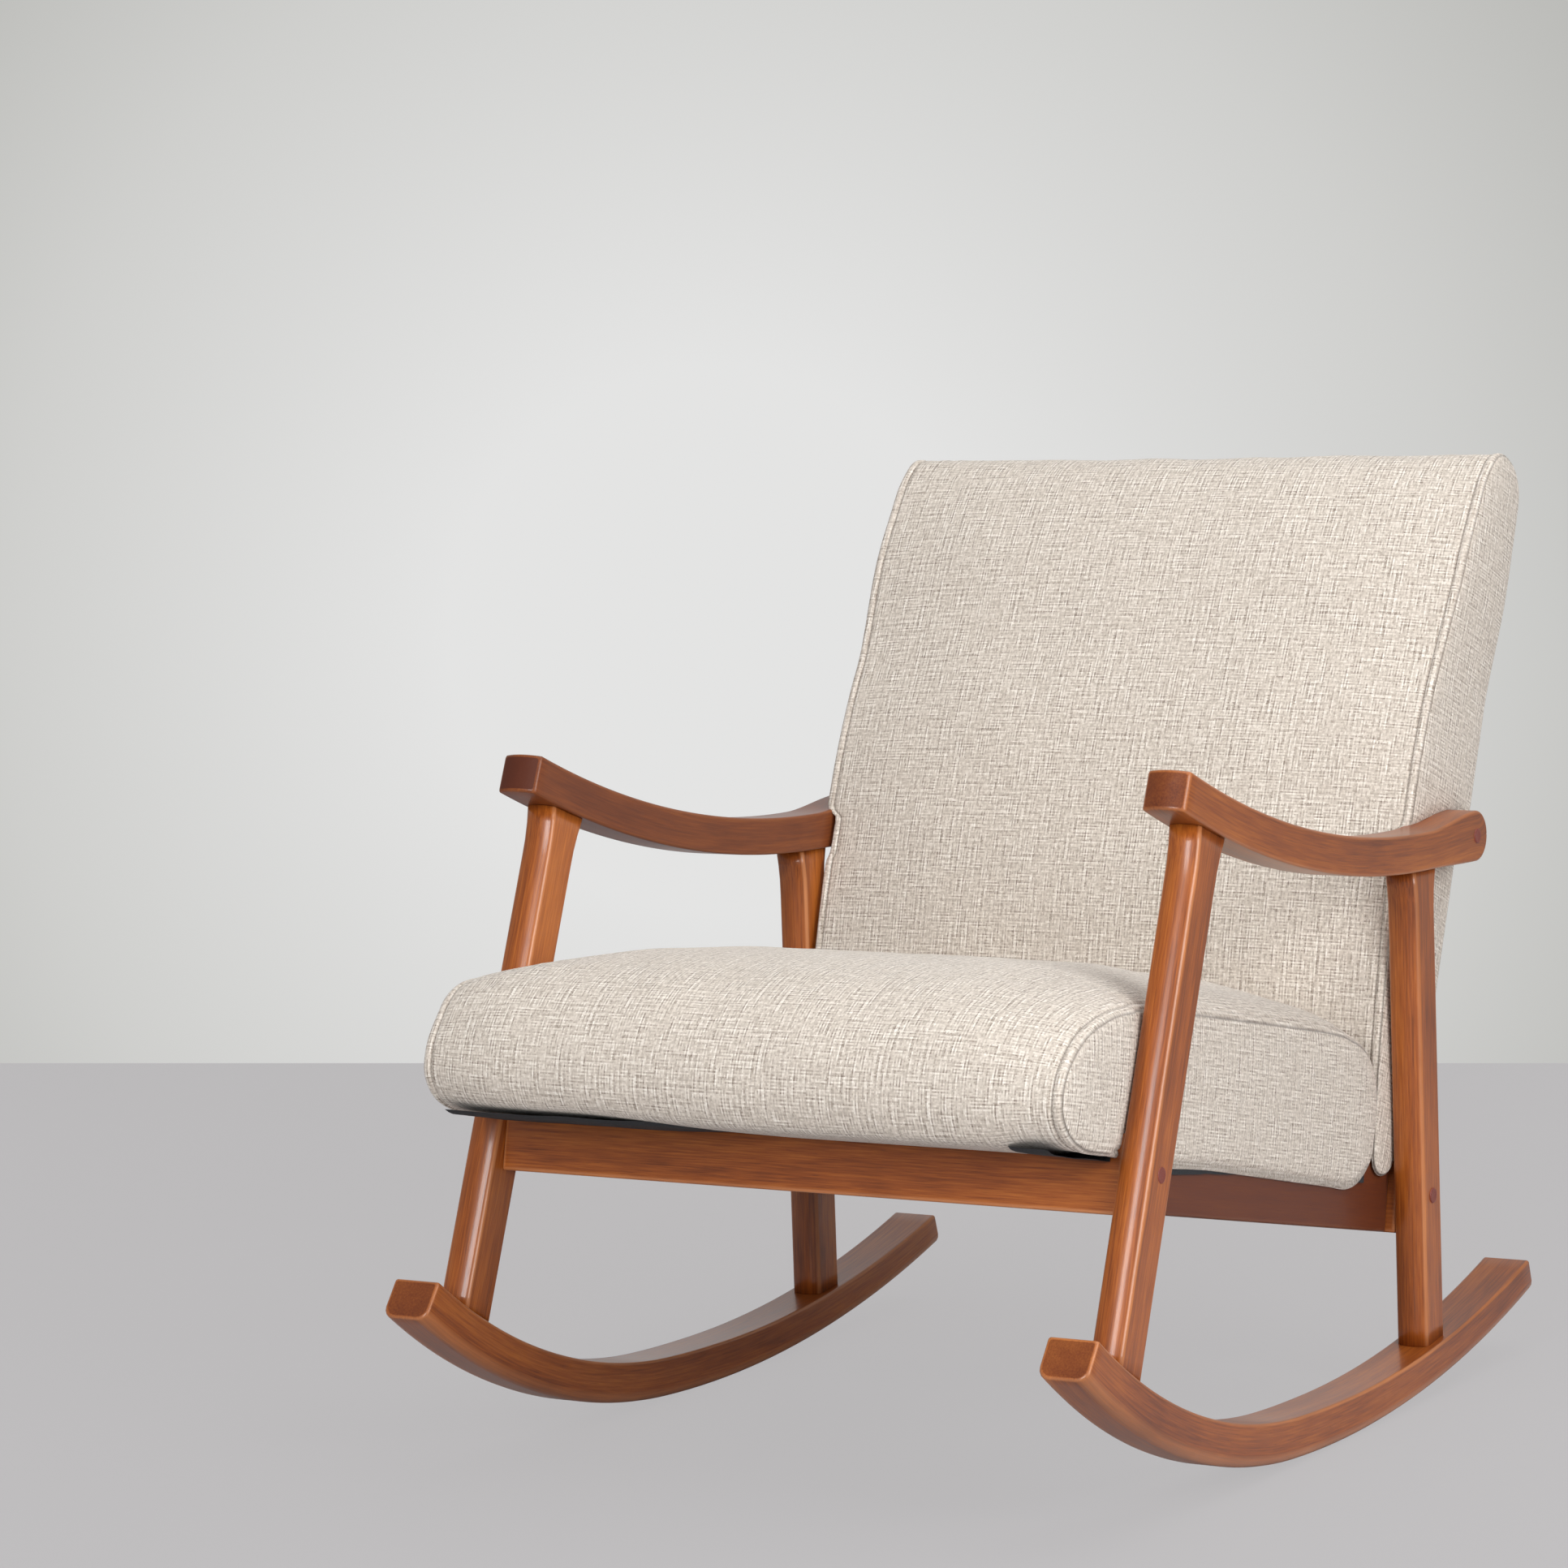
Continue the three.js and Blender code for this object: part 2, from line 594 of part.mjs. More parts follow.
for (const side of SIDES) {
  const { label, sign } = side;
  const railX = [sign * sideRailInnerX, sign * sideRailOuterX].sort((a, b) => a - b);
  const sideRail = box([railX[0], insideFrontY, 0], [railX[1], insideRearY, RAIL_HEIGHT]);
  add(`side_rail_${label}`, sideRail, stainedWood(), seatFrame);

  for (const [place, leg] of Object.entries(LEGS)) {
    const { y, boltZ } = CROSS_RAILS[place];
    addBolt(`${place}_leg`, leg.bolt, side, LEG_WIDTH, LEG_BOLT_LENGTH);
    const nut = add(`${place}_leg_nut_${label}`, barrelNutGeometry(), zincSteel(), seatFrame);
    nut.position.set(sign * barrelNutX, y + RAIL_THICKNESS / 2, boltZ);

    // Three-cornered block glued into the corner between the side rail and the cross rail.
    const blockY = place === 'front' ? insideFrontY + GAP : insideRearY - GAP;
    const inward = place === 'front' ? 1 : -1;
    const outline = new THREE.Shape([
      new THREE.Vector2(sign * (sideRailInnerX - GAP), blockY),
      new THREE.Vector2(sign * (sideRailInnerX - GAP), blockY + inward * CORNER_BLOCK_LEG),
      new THREE.Vector2(sign * (sideRailInnerX - GAP - CORNER_BLOCK_LEG), blockY),
    ]);
    const block = new THREE.ExtrudeGeometry(outline, { depth: CORNER_BLOCK_HEIGHT, bevelEnabled: false });
    const blockMesh = add(`corner_block_${place}_${label}`, block, plainWood(), seatFrame);
    blockMesh.position.z = (RAIL_HEIGHT - CORNER_BLOCK_HEIGHT) / 2;
  }
}

// ---------------------------------------------------------------- seat

const seatHalfWidth = legInnerX - SEAT_LEG_CLEARANCE;
const deckHalfWidth = seatHalfWidth - SEAT_SKIRT;
const deckBottom = RAIL_HEIGHT + GAP;
const deckTop = deckBottom + DECK_THICKNESS;
const deck = box([-deckHalfWidth, -DECK_OVERHANG, deckBottom], [deckHalfWidth, SEAT_REAR, deckTop]);
add('seat_deck', deck, plywood(), seatFrame);

const battenHalfWidth = deckHalfWidth - BATTEN_INSET;
const batten = box(
  [-battenHalfWidth, -DECK_OVERHANG, SEAT_BOTTOM],
  [battenHalfWidth, BATTEN_DEPTH - DECK_OVERHANG, deckBottom - GAP],
);
add('nose_batten', batten, plainWood(), seatFrame);

// Outline of the cushion in its side view: four corners, each a quarter of an ellipse, clockwise from
// the lower front one. The crown lifts the top and pushes the nose out.
function seatOutline(crown) {
  const front = -SEAT_OVERHANG - SEAT_NOSE_CROWN * crown;
  const top = SEAT_SEAM_HEIGHT + SEAT_CROWN * crown;
  const nose = { depth: SEAT_NOSE_CORNER.depth, height: SEAT_NOSE_CORNER.height + SEAT_CROWN * crown };
  const corners = [
    { y: front, z: SEAT_BOTTOM, size: SEAT_LOWER_NOSE_CORNER, inwardY: 1, inwardZ: 1 },
    { y: front, z: top, size: nose, inwardY: 1, inwardZ: -1 },
    { y: SEAT_REAR, z: top, size: SEAT_REAR_CORNER, inwardY: -1, inwardZ: -1 },
    { y: SEAT_REAR, z: SEAT_BOTTOM, size: SEAT_LOWER_REAR_CORNER, inwardY: -1, inwardZ: 1 },
  ];
  const steps = 4;
  return corners.flatMap(({ y, z, size, inwardY, inwardZ }, corner) => {
    const centreY = y + inwardY * size.depth;
    const centreZ = z + inwardZ * size.height;
    const points = [];
    for (let i = 0; i <= steps; i += 1) {
      const turn = -(Math.PI / 2) * (corner + 1 + i / steps);
      const out = new THREE.Vector2(size.depth * Math.cos(turn), size.height * Math.sin(turn));
      points.push(out.add(new THREE.Vector2(centreY, centreZ)));
    }
    return points;
  });
}

// Cushion across X: full height in the middle, down to its seams at the sides. The spread widens it
// by a length that depends on the point of its outline.
const PUFF_STATIONS = [-1, -0.97, -0.85, -0.5, 0, 0.5, 0.85, 0.97, 1];

function puffed(halfWidth, outline, spread = () => 0) {
  return loft(PUFF_STATIONS.map((share) => outline(1 - share ** 4).map(
    (point) => new THREE.Vector3(share * (halfWidth + spread(point)), point.x, point.y),
  )));
}

const seatCushionCuts = [
  box([-deckHalfWidth - GAP, -DECK_OVERHANG - GAP, -1], [deckHalfWidth + GAP, SEAT_REAR + 1, deckTop + GAP]),
  box([-sideRailOuterX - GAP, -GAP, -1], [sideRailOuterX + GAP, SEAT_REAR + 1, deckBottom]),
  box([-legInnerX - 1, -GAP, -1], [legInnerX + 1, insideFrontY, deckBottom]),
];
add('seat_cushion', cut(puffed(seatHalfWidth, seatOutline), seatCushionCuts), linen(), seatFrame);

const coverTop = SEAT_BOTTOM - GAP;
const coverHalfWidth = seatHalfWidth - DUST_COVER_MARGIN;
const cover = box(
  [-coverHalfWidth, DUST_COVER_MARGIN - SEAT_OVERHANG, coverTop - DUST_COVER_THICKNESS],
  [coverHalfWidth, -GAP, coverTop],
);
add('seat_dust_cover', cover, blackCloth(), seatFrame);

// ---------------------------------------------------------------- back

// The back turns about the armrests' rear bolts. Its own axes are X, Y back from the bolts and
// Z up along its slope.
const back = new THREE.Group();
back.position.set(0, armEnd.x, armEnd.y);
back.rotation.x = -radians(BACK_RECLINE);
chair.add(back);
back.updateMatrix();

// Point of the seat frame's side view in the back's side view.
function seatToBack(y, z) {
  const point = new THREE.Vector3(0, y, z).applyMatrix4(seatFrame.matrix);
  point.applyMatrix4(back.matrix.clone().invert());
  return new THREE.Vector2(point.y, point.z);
}

// Height, in the back's own axes, of a level of the seat frame at a depth of the back.
function seatLevel(z, depth) {
  const near = seatToBack(0, z);
  const far = seatToBack(rearRailY, z);
  return THREE.MathUtils.mapLinear(depth, near.x, far.x, near.y, far.y);
}

const backHalfWidth = SIDE_FRAME_X - ARM_WIDTH / 2 - GAP;
const cheekOuterX = backHalfWidth - BACK_SKIN - GAP;
const cheekInnerX = cheekOuterX - CHEEK_THICKNESS;
const panelFront = BACK_REAR_DEPTH - REAR_PANEL_THICKNESS;
const cheekRear = panelFront - GAP;
const cheekFront = cheekRear - CHEEK_DEPTH;
const cheekTop = BACK_TOP_HEIGHT - BACK_TOP_PADDING;
const backFloor = (depth) => seatLevel(deckBottom, depth);

function slab(outline, fromX, toX) {
  const shape = new THREE.Shape(outline);
  const geometry = new THREE.ExtrudeGeometry(shape, { depth: toX - fromX, bevelEnabled: false });
  return geometry.applyMatrix4(new THREE.Matrix4().set(0, 0, 1, fromX, 1, 0, 0, 0, 0, 1, 0, 0, 0, 0, 0, 1));
}

const cheekOutline = [
  new THREE.Vector2(cheekFront, backFloor(cheekFront)),
  new THREE.Vector2(cheekRear, backFloor(cheekRear)),
  new THREE.Vector2(cheekRear, cheekTop),
  new THREE.Vector2(cheekFront, cheekTop),
];

for (const side of SIDES) {
  const { label, sign } = side;
  const from = Math.min(sign * cheekInnerX, sign * cheekOuterX);
  const cheek = slab(cheekOutline, from, from + CHEEK_THICKNESS);
  const nutBarrel = BOLT_RADIUS + 1.5;
  const hole = bar(
    new THREE.Vector3(sign * (cheekInnerX - 1), 0, 0),
    new THREE.Vector3(sign * (cheekOuterX + 1), 0, 0),
    nutBarrel + GAP,
  );
  add(`back_cheek_${label}`, cut(cheek, [hole]), plywood(), back);

  // Flanged nut on the cheek's inner face, with its barrel in the cheek.
  const profile = [
    [BOLT_RADIUS + GAP, 0],
    [FLANGE_RADIUS, 0],
    [FLANGE_RADIUS, FLANGE_THICKNESS],
    [nutBarrel, FLANGE_THICKNESS],
    [nutBarrel, FLANGE_THICKNESS + CHEEK_THICKNESS / 2],
    [BOLT_RADIUS + GAP, FLANGE_THICKNESS + CHEEK_THICKNESS / 2],
    [BOLT_RADIUS + GAP, 0],
  ];
  const nutPoints = profile.map(([radius, height]) => new THREE.Vector2(radius, height));
  const nut = add(`arm_nut_${label}`, new THREE.LatheGeometry(nutPoints, 12), zincSteel(), back);
  nut.rotation.z = -sign * Math.PI / 2;
  nut.position.x = sign * (cheekInnerX - GAP - FLANGE_THICKNESS);

  const armBoltLength = ARM_WIDTH + CHEEK_THICKNESS + BACK_SKIN;
  addBolt('arm', armEnd, side, ARM_WIDTH, armBoltLength);
}

// Three rails between the cheeks. The bottom one stands on the rear rail, in the seat frame's plane.
const backRailHalf = cheekInnerX - GAP;
const bottomRailBlank = box(
  [-backRailHalf, rearRailY, deckBottom],
  [backRailHalf, rearRailY + RAIL_THICKNESS, deckBottom + BACK_RAIL_HEIGHT],
);
const backNutZ = BACK_BOLT_RECESS + BACK_BOLT_LENGTH - NUT_FROM_TIP;
const backNutEndY = rearRailY + RAIL_THICKNESS / 2 + BARREL_NUT_LENGTH / 2 + GAP;
const backNutHoles = SIDES.map(({ sign }) => bar(
  new THREE.Vector3(sign * BACK_BOLT_X, rearRailY - 1, backNutZ),
  new THREE.Vector3(sign * BACK_BOLT_X, backNutEndY, backNutZ),
  BARREL_NUT_RADIUS + GAP,
));
const bottomRail = cut(bottomRailBlank, [...backNutHoles, ...backBoltHoles()]);
add('back_bottom_rail', bottomRail, plainWood(), seatFrame);

for (const { label, sign } of SIDES) {
  const y = rearRailY + RAIL_THICKNESS / 2;
  const bolt = add(`back_bolt_${label}`, boltGeometry(BACK_BOLT_LENGTH), zincSteel(), seatFrame);
  bolt.rotation.y = Math.PI / 2;
  bolt.position.set(sign * BACK_BOLT_X, y, BACK_BOLT_RECESS - GAP);
  const nut = add(`back_nut_${label}`, barrelNutGeometry(), zincSteel(), seatFrame);
  nut.rotation.y = Math.PI / 2;
  nut.position.set(sign * BACK_BOLT_X, y, backNutZ);
}

const backRails = [
  { name: 'back_middle_rail', top: BACK_RAIL_HEIGHT / 2 },
  { name: 'back_top_rail', top: cheekTop },
];
for (const { name, top } of backRails) {
  const rail = box(
    [-backRailHalf, cheekRear - BACK_RAIL_THICKNESS, top - BACK_RAIL_HEIGHT],
    [backRailHalf, cheekRear, top],
  );
  add(name, rail, plainWood(), back);
}

// Outline of the back cushion in its side view: up the front, over the round top, down the rear.
function backOutline(crown) {
  const puff = BACK_CROWN * crown;
  const seatJoin = seatToBack(SEAT_REAR + 2 * GAP, SEAT_SEAM_HEIGHT);
  const front = new THREE.SplineCurve([
    seatJoin,
    new THREE.Vector2(-BACK_LUMBAR_DEPTH - puff, BACK_LUMBAR_HEIGHT),
    new THREE.Vector2(-BACK_SHOULDER_DEPTH - puff, BACK_SHOULDER_HEIGHT),
    new THREE.Vector2(-BACK_NECK_DEPTH - puff, BACK_NECK_HEIGHT),
  ]);
  const foot = seatToBack(SEAT_REAR + 2 * GAP, deckBottom);
  const topDepth = (cheekRear - BACK_NECK_DEPTH) / 2;
  const over = new THREE.CubicBezierCurve(
    new THREE.Vector2(-BACK_NECK_DEPTH - puff, BACK_NECK_HEIGHT),
    new THREE.Vector2(-BACK_NECK_DEPTH + BACK_TOP_DROP / 4, BACK_TOP_HEIGHT),
    new THREE.Vector2(topDepth + BACK_TOP_DROP / 2, BACK_TOP_HEIGHT),
    new THREE.Vector2(cheekRear, BACK_TOP_HEIGHT - BACK_TOP_DROP),
  );
  const rearFoot = new THREE.Vector2(cheekRear, backFloor(cheekRear));
  const rear = new THREE.LineCurve(new THREE.Vector2(cheekRear, BACK_TOP_HEIGHT - BACK_TOP_DROP), rearFoot);
  return [foot, ...front.getPoints(10), ...over.getPoints(8).slice(1), ...rear.getPoints(9).slice(1)];
}

const backCavity = box(
  [-cheekOuterX - GAP, cheekFront - GAP, -BACK_TOP_HEIGHT],
  [cheekOuterX + GAP, BACK_REAR_DEPTH, cheekTop + GAP],
);
const armBoltSleeve = bar(
  new THREE.Vector3(-backHalfWidth - 1, 0, 0),
  new THREE.Vector3(backHalfWidth + 1, 0, 0),
  BOLT_RADIUS + GAP,
);

// Above the armrests the cushion swells out sideways.
function aboveArms(point) {
  return BACK_SPREAD * THREE.MathUtils.smoothstep(point.y, BACK_SPREAD_FROM, BACK_SPREAD_TO);
}

const backCushion = puffed(backHalfWidth, backOutline, aboveArms);
add('back_cushion', cut(backCushion, [backCavity, armBoltSleeve]), linen(), back);

const panelHalf = backHalfWidth - EASE;
const panelFoot = backFloor(BACK_REAR_DEPTH);
const rearPanel = box(
  [-panelHalf, panelFront, panelFoot],
  [panelHalf, BACK_REAR_DEPTH, BACK_TOP_HEIGHT - BACK_TOP_DROP],
);
add('back_rear_panel', rearPanel, hardboard(), back);

// ---------------------------------------------------------------- standing the chair on its rockers

// The chair turns about the centre of the rear arcs until the flat at REST_ANGLE lies on the floor,
// and its middle in plan is the origin.
chair.position.z = -ROCKER_REAR_RADIUS;
const cradle = new THREE.Group();
cradle.add(chair);
cradle.rotation.x = -radians(REST_ANGLE);
cradle.position.z = ROCKER_REAR_RADIUS * Math.cos(radians(REAR_FACET_ANGLE / 2));

const rockingChair = new THREE.Group();
rockingChair.add(cradle);
rockingChair.updateMatrixWorld(true);
const bounds = new THREE.Box3().setFromObject(rockingChair, true);
cradle.position.y = -(bounds.min.y + bounds.max.y) / 2;
rockingChair.updateMatrixWorld(true);

export default rockingChair;
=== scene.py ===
import bmesh
import bpy
import math
import numpy as np
from mathutils import Matrix, Vector, noise


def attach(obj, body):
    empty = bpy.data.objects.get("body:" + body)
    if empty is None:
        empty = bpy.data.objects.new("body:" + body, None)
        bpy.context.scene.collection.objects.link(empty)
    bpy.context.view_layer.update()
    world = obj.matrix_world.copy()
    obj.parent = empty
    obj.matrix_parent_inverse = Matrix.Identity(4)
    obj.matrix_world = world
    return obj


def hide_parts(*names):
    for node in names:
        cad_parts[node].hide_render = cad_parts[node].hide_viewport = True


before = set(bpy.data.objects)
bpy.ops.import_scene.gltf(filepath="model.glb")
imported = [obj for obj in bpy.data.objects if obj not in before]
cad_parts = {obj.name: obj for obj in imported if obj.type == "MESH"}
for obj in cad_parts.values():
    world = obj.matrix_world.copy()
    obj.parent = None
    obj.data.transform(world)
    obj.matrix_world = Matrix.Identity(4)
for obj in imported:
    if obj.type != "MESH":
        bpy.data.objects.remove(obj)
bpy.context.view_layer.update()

# ---------------------------------------------------------------- the rockers
# Each rocker is sawn from a board of rubberwood: a wide rear curve that tightens towards the front. Its
# underside is rounded over, its top edges are eased, and it is stained red-brown and lacquered. Side
# views are in (y, z), y back and z up, and the whole chair is tipped forward by its rest angle.
SIDES = (("left", -1), ("right", 1))
REST_ANGLE = math.radians(1.1)
REAR_CURVE = 1.430
FRONT_CURVE = 0.700
SHIFT_BACK = 0.005570
SETTLED = 0.00016
ROCKER_X = 0.318
ROCKER_HALF = 0.023
CURVES_MEET = math.radians(-3.15)
ROCKER_FRONT = math.radians(-36.65)
ROCKER_REAR = math.radians(17.25)
ROCKER_DEEP, ROCKER_SLIM = 0.037, 0.031


def stand(x, y, z):
    """A point of the chair's own side view, as it stands at rest on the floor."""
    above = z - REAR_CURVE
    back = y * math.cos(REST_ANGLE) + above * math.sin(REST_ANGLE) + SHIFT_BACK
    up = above * math.cos(REST_ANGLE) - y * math.sin(REST_ANGLE) + REAR_CURVE - SETTLED
    return Vector((x, back, up))


def on_arc(centre, radius, angle):
    return np.array((centre[0] + radius * math.sin(angle), centre[1] - radius * math.cos(angle)))


def blend(low, high, share):
    return low + (high - low) * share


def eased(share):
    """A share held between 0 and 1, with a soft start and end."""
    share = np.clip(share, 0, 1)
    return share * share * (3 - 2 * share)


rear_centre = np.array((0.0, REAR_CURVE))
front_centre = on_arc(rear_centre, REAR_CURVE - FRONT_CURVE, CURVES_MEET)


def rocker_depth(angle):
    return blend(ROCKER_DEEP, ROCKER_SLIM, min(1.0, max(0.0, angle / ROCKER_REAR)))


def rocker_point(angle, height):
    if angle < CURVES_MEET:
        return on_arc(front_centre, FRONT_CURVE - height, angle)
    return on_arc(rear_centre, REAR_CURVE - height, angle)


def put_attributes(mesh, **columns):
    """Store numbers on a mesh's points, for its material to read."""
    for name, values in columns.items():
        values = np.asarray(values, dtype=np.float32)
        kind = "FLOAT" if values.ndim == 1 else "FLOAT_VECTOR"
        layer = mesh.attributes.new(name, kind, "POINT")
        layer.data.foreach_set("value" if kind == "FLOAT" else "vector", values.ravel())


def new_piece(name, mesh, material, slot, *nodes):
    """Link a finished mesh as a piece of the chair that stands for the given nodes of the frame."""
    piece = bpy.data.objects.new(name, mesh)
    bpy.context.scene.collection.objects.link(piece)
    mesh.materials.clear()
    mesh.materials.append(material)
    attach(piece, "root")
    if nodes:
        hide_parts(*nodes)
    return piece


def outward(mesh, weld=0.0):
    """Weld a closed mesh where asked to, turn every face outwards and shade it smoothly."""
    work = bmesh.new()
    work.from_mesh(mesh)
    if weld:
        bmesh.ops.remove_doubles(work, verts=work.verts, dist=weld)
    bmesh.ops.recalc_face_normals(work, faces=work.faces)
    work.to_mesh(mesh)
    work.free()
    mesh.shade_smooth()


def tube(rings, around):
    """Faces between rings that have the same number of points, stored one ring after another."""
    faces = []
    for r in range(rings - 1):
        for i in range(around):
            j = (i + 1) % around
            faces.append((r * around + i, r * around + j, (r + 1) * around + j, (r + 1) * around + i))
    return faces


def edge_arc(steps=4):
    return [math.pi / 2 * i / steps for i in range(steps + 1)]


HALF_WORN = 0.25
END_DARKER = 0.38


def timber_section(half, top_ease, under_ease):
    """Points round a board's section: which face, x across, how far in from the face, and wear."""
    ring = []

    def face(kind, ease, sign):
        flat = half - ease
        unworn = flat - 0.0006
        across = [-flat] + [unworn * s for s in (-1, -0.75, -0.5, -0.25, 0, 0.25, 0.5, 0.75, 1)] + [flat]
        for x in across[::sign]:
            ring.append((kind, x, 0.0, HALF_WORN if abs(x) == flat else 0.0))

    def corner(kind, ease, sign, leaving):
        turns = edge_arc()[1:] if leaving else edge_arc()[::-1][:-1]
        for turn in turns:
            worn = 1.0 if 0.3 < turn < 1.3 else HALF_WORN
            ring.append((kind, sign * (half - ease + ease * math.sin(turn)), ease * (1 - math.cos(turn)), worn))

    def side(sign):
        shares = [0.02, 0.2, 0.4, 0.6, 0.8, 0.98]
        for share in shares if sign > 0 else shares[::-1]:
            ring.append(("side", sign * half, share, 0.0))

    face("top", top_ease, 1)
    corner("top", top_ease, 1, True)
    side(1)
    corner("under", under_ease, 1, False)
    face("under", under_ease, -1)
    corner("under", under_ease, -1, True)
    side(-1)
    corner("top", top_ease, -1, False)
    return ring


def side_normals(points, away_from):
    """Unit normals of a line in the side view, pointing away from the opposite face."""
    tangents = np.gradient(points, axis=0)
    normals = np.stack([tangents[:, 1], -tangents[:, 0]], axis=1)
    normals /= np.linalg.norm(normals, axis=1)[:, None]
    if np.dot(normals[0], points[0] - away_from[0]) < 0:
        normals = -normals
    return normals


def timber(name, x_middle, top, under, half, crown=0.0, ease=0.0025, under_ease=None, front_cap=0.0,
           fit=None, board=0.0):
    """A shaped board between two lines of the side view, with eased edges and darker end grain."""
    under_ease = ease if under_ease is None else under_ease
    top, under = np.array(top), np.array(under)
    top_out, under_out = side_normals(top, under), side_normals(under, top)
    middle = (top + under) / 2
    along = np.concatenate([[0.0], np.cumsum(np.linalg.norm(np.diff(middle, axis=0), axis=1))])
    section = timber_section(half, ease, under_ease)

    def ring_at(i, shift=0.0, inset=0.0, cap=0.0, outward_way=None, shrink=0.0):
        depth = np.linalg.norm(top[i] - under[i])
        ring = []
        for kind, x, inward, worn in section:
            bow = crown * (1 - (x / half) ** 2)
            if kind == "top":
                p = top[i] + top_out[i] * (bow - inward)
            elif kind == "under":
                p = under[i] - under_out[i] * inward
            else:
                p = blend(top[i] - top_out[i] * ease, under[i] - under_out[i] * under_ease, inward)
            from_middle = p - middle[i]
            x_scale = (1 - inset / half) * (1 - shrink)
            p = middle[i] + from_middle * (1 - inset / max(depth / 2, 1e-5)) * (1 - shrink)
            if outward_way is not None:
                p = p + outward_way * (shift + cap * (1 - (x * x_scale / half) ** 2))
            deep = np.dot(p - middle[i], top_out[i])
            reach = along[i] + (shift if outward_way is None or i else -shift)
            ring.append((x * x_scale, p, (reach, x * x_scale, deep), worn))
        return ring

    rings, tones = [], []
    count = len(top)
    for end, i in ((0, 0), (1, count - 1)):
        end_grain = 0
        if fit is not None or np.linalg.norm(top[i] - under[i]) < 0.006:
            end_rings = [ring_at(i)]
        else:
            neighbour = 1 if end == 0 else count - 2
            way = middle[i] - middle[neighbour]
            way /= np.linalg.norm(way)
            cap = 0.0 if end else front_cap
            end_rings = [ring_at(i, -ease, 0.0, cap, way)]
            for turn in edge_arc(3)[1:]:
                shift, inset = ease * (math.sin(turn) - 1), ease * (1 - math.cos(turn))
                ring = ring_at(i, shift, inset, cap, way)
                end_rings.append([(x, p, g, 1.0 if turn < 1.5 else HALF_WORN) for x, p, g, _ in ring])
            for shrink in (0.03, 0.3, 0.65, 0.96):
                ring = ring_at(i, 0.0, ease, cap, way, shrink)
                end_rings.append([(x, p, g, 0.0) for x, p, g, _ in ring])
                end_grain += 1
        # Each ring carries the piece's darkening, which is painted shade on some pieces, plus more darkening on its
        # end grain.
        end_tones = [board] * (len(end_rings) - end_grain) + [board + END_DARKER] * end_grain
        if end == 0:
            rings.extend(end_rings[::-1])
            rings.extend(ring_at(j) for j in range(1, count - 1))
            tones.extend(end_tones[::-1] + [board] * (count - 2))
        else:
            rings.extend(end_rings)
            tones.extend(end_tones)
    if fit is not None:
        rings = fit(rings)
    around = len(section)
    points, grain, worn = [], [], []
    for ring in rings:
        for x, p, g, w in ring:
            points.append(stand(x_middle + x, p[0], p[1]))
            grain.append(g)
            worn.append(w)
    faces = tube(len(rings), around)
    faces.append(tuple(range(around)))
    faces.append(tuple(range(len(points) - around, len(points))))
    mesh = bpy.data.meshes.new(name)
    mesh.from_pydata(points, [], faces)
    outward(mesh)
    offset = np.array((0.37 * len(name) + 1.9 * (x_middle > 0), 0.05 * len(name), 0.031 * len(name)))
    put_attributes(mesh, grain=np.array(grain) + offset, worn=worn, board=np.repeat(tones, around))
    return mesh


def new_group(name, inputs, outputs):
    """A shader node group with named sockets, and the ends of its tree."""
    tree = bpy.data.node_groups.new(name, "ShaderNodeTree")
    for label, kind, value in inputs:
        socket = tree.interface.new_socket(label, in_out="INPUT", socket_type=kind)
        if value is not None:
            socket.default_value = value
    for label, kind in outputs:
        tree.interface.new_socket(label, in_out="OUTPUT", socket_type=kind)
    return tree, tree.nodes.new("NodeGroupInput"), tree.nodes.new("NodeGroupOutput")


def node(tree, kind, **settings):
    """Add a node; settings that name an input set its value, and sockets are linked to it."""
    made = tree.nodes.new(kind)
    for key, value in settings.items():
        if hasattr(made, key) and not key.startswith("in_"):
            setattr(made, key, value)
            continue
        label = key[3:]
        socket = made.inputs[int(label)] if label.isdigit() else made.inputs[label.replace("_", " ")]
        if isinstance(value, bpy.types.NodeSocket):
            tree.links.new(value, socket)
        else:
            socket.default_value = value
    return made


def maths(tree, operation, first, second=0.0):
    return node(tree, "ShaderNodeMath", operation=operation, in_0=first, in_1=second).outputs[0]


def streaks(tree, where, scale, detail=2.0, roughness=0.5):
    """Noise stretched by a scale of its own along each axis."""
    stretched = node(tree, "ShaderNodeVectorMath", operation="MULTIPLY", in_0=where, in_1=scale).outputs[0]
    return node(tree, "ShaderNodeTexNoise", in_Vector=stretched, in_Scale=1.0, in_Detail=detail,
                in_Roughness=roughness).outputs[0]


def object_coordinates(tree):
    return node(tree, "ShaderNodeTexCoord").outputs["Object"]


def ramp(tree, value, *stops):
    made = node(tree, "ShaderNodeValToRGB", in_0=value)
    marks = made.color_ramp.elements
    while len(marks) < len(stops):
        marks.new(0.5)
    for mark, (place, colour) in zip(marks, stops):
        mark.position = place
        mark.color = (*colour, 1.0)
    return made.outputs[0]


def mixed(tree, factor, first, second):
    made = node(tree, "ShaderNodeMix", data_type="RGBA")
    for index, value in ((0, factor), (6, first), (7, second)):
        if isinstance(value, bpy.types.NodeSocket):
            tree.links.new(value, made.inputs[index])
        else:
            made.inputs[index].default_value = value if index == 0 else (*value, 1.0)
    return made.outputs[2]


def new_material(name):
    """A material, with its node tree and its Principled shader."""
    made = bpy.data.materials.new(name)
    made.use_nodes = True
    return made, made.node_tree, made.node_tree.nodes["Principled BSDF"]


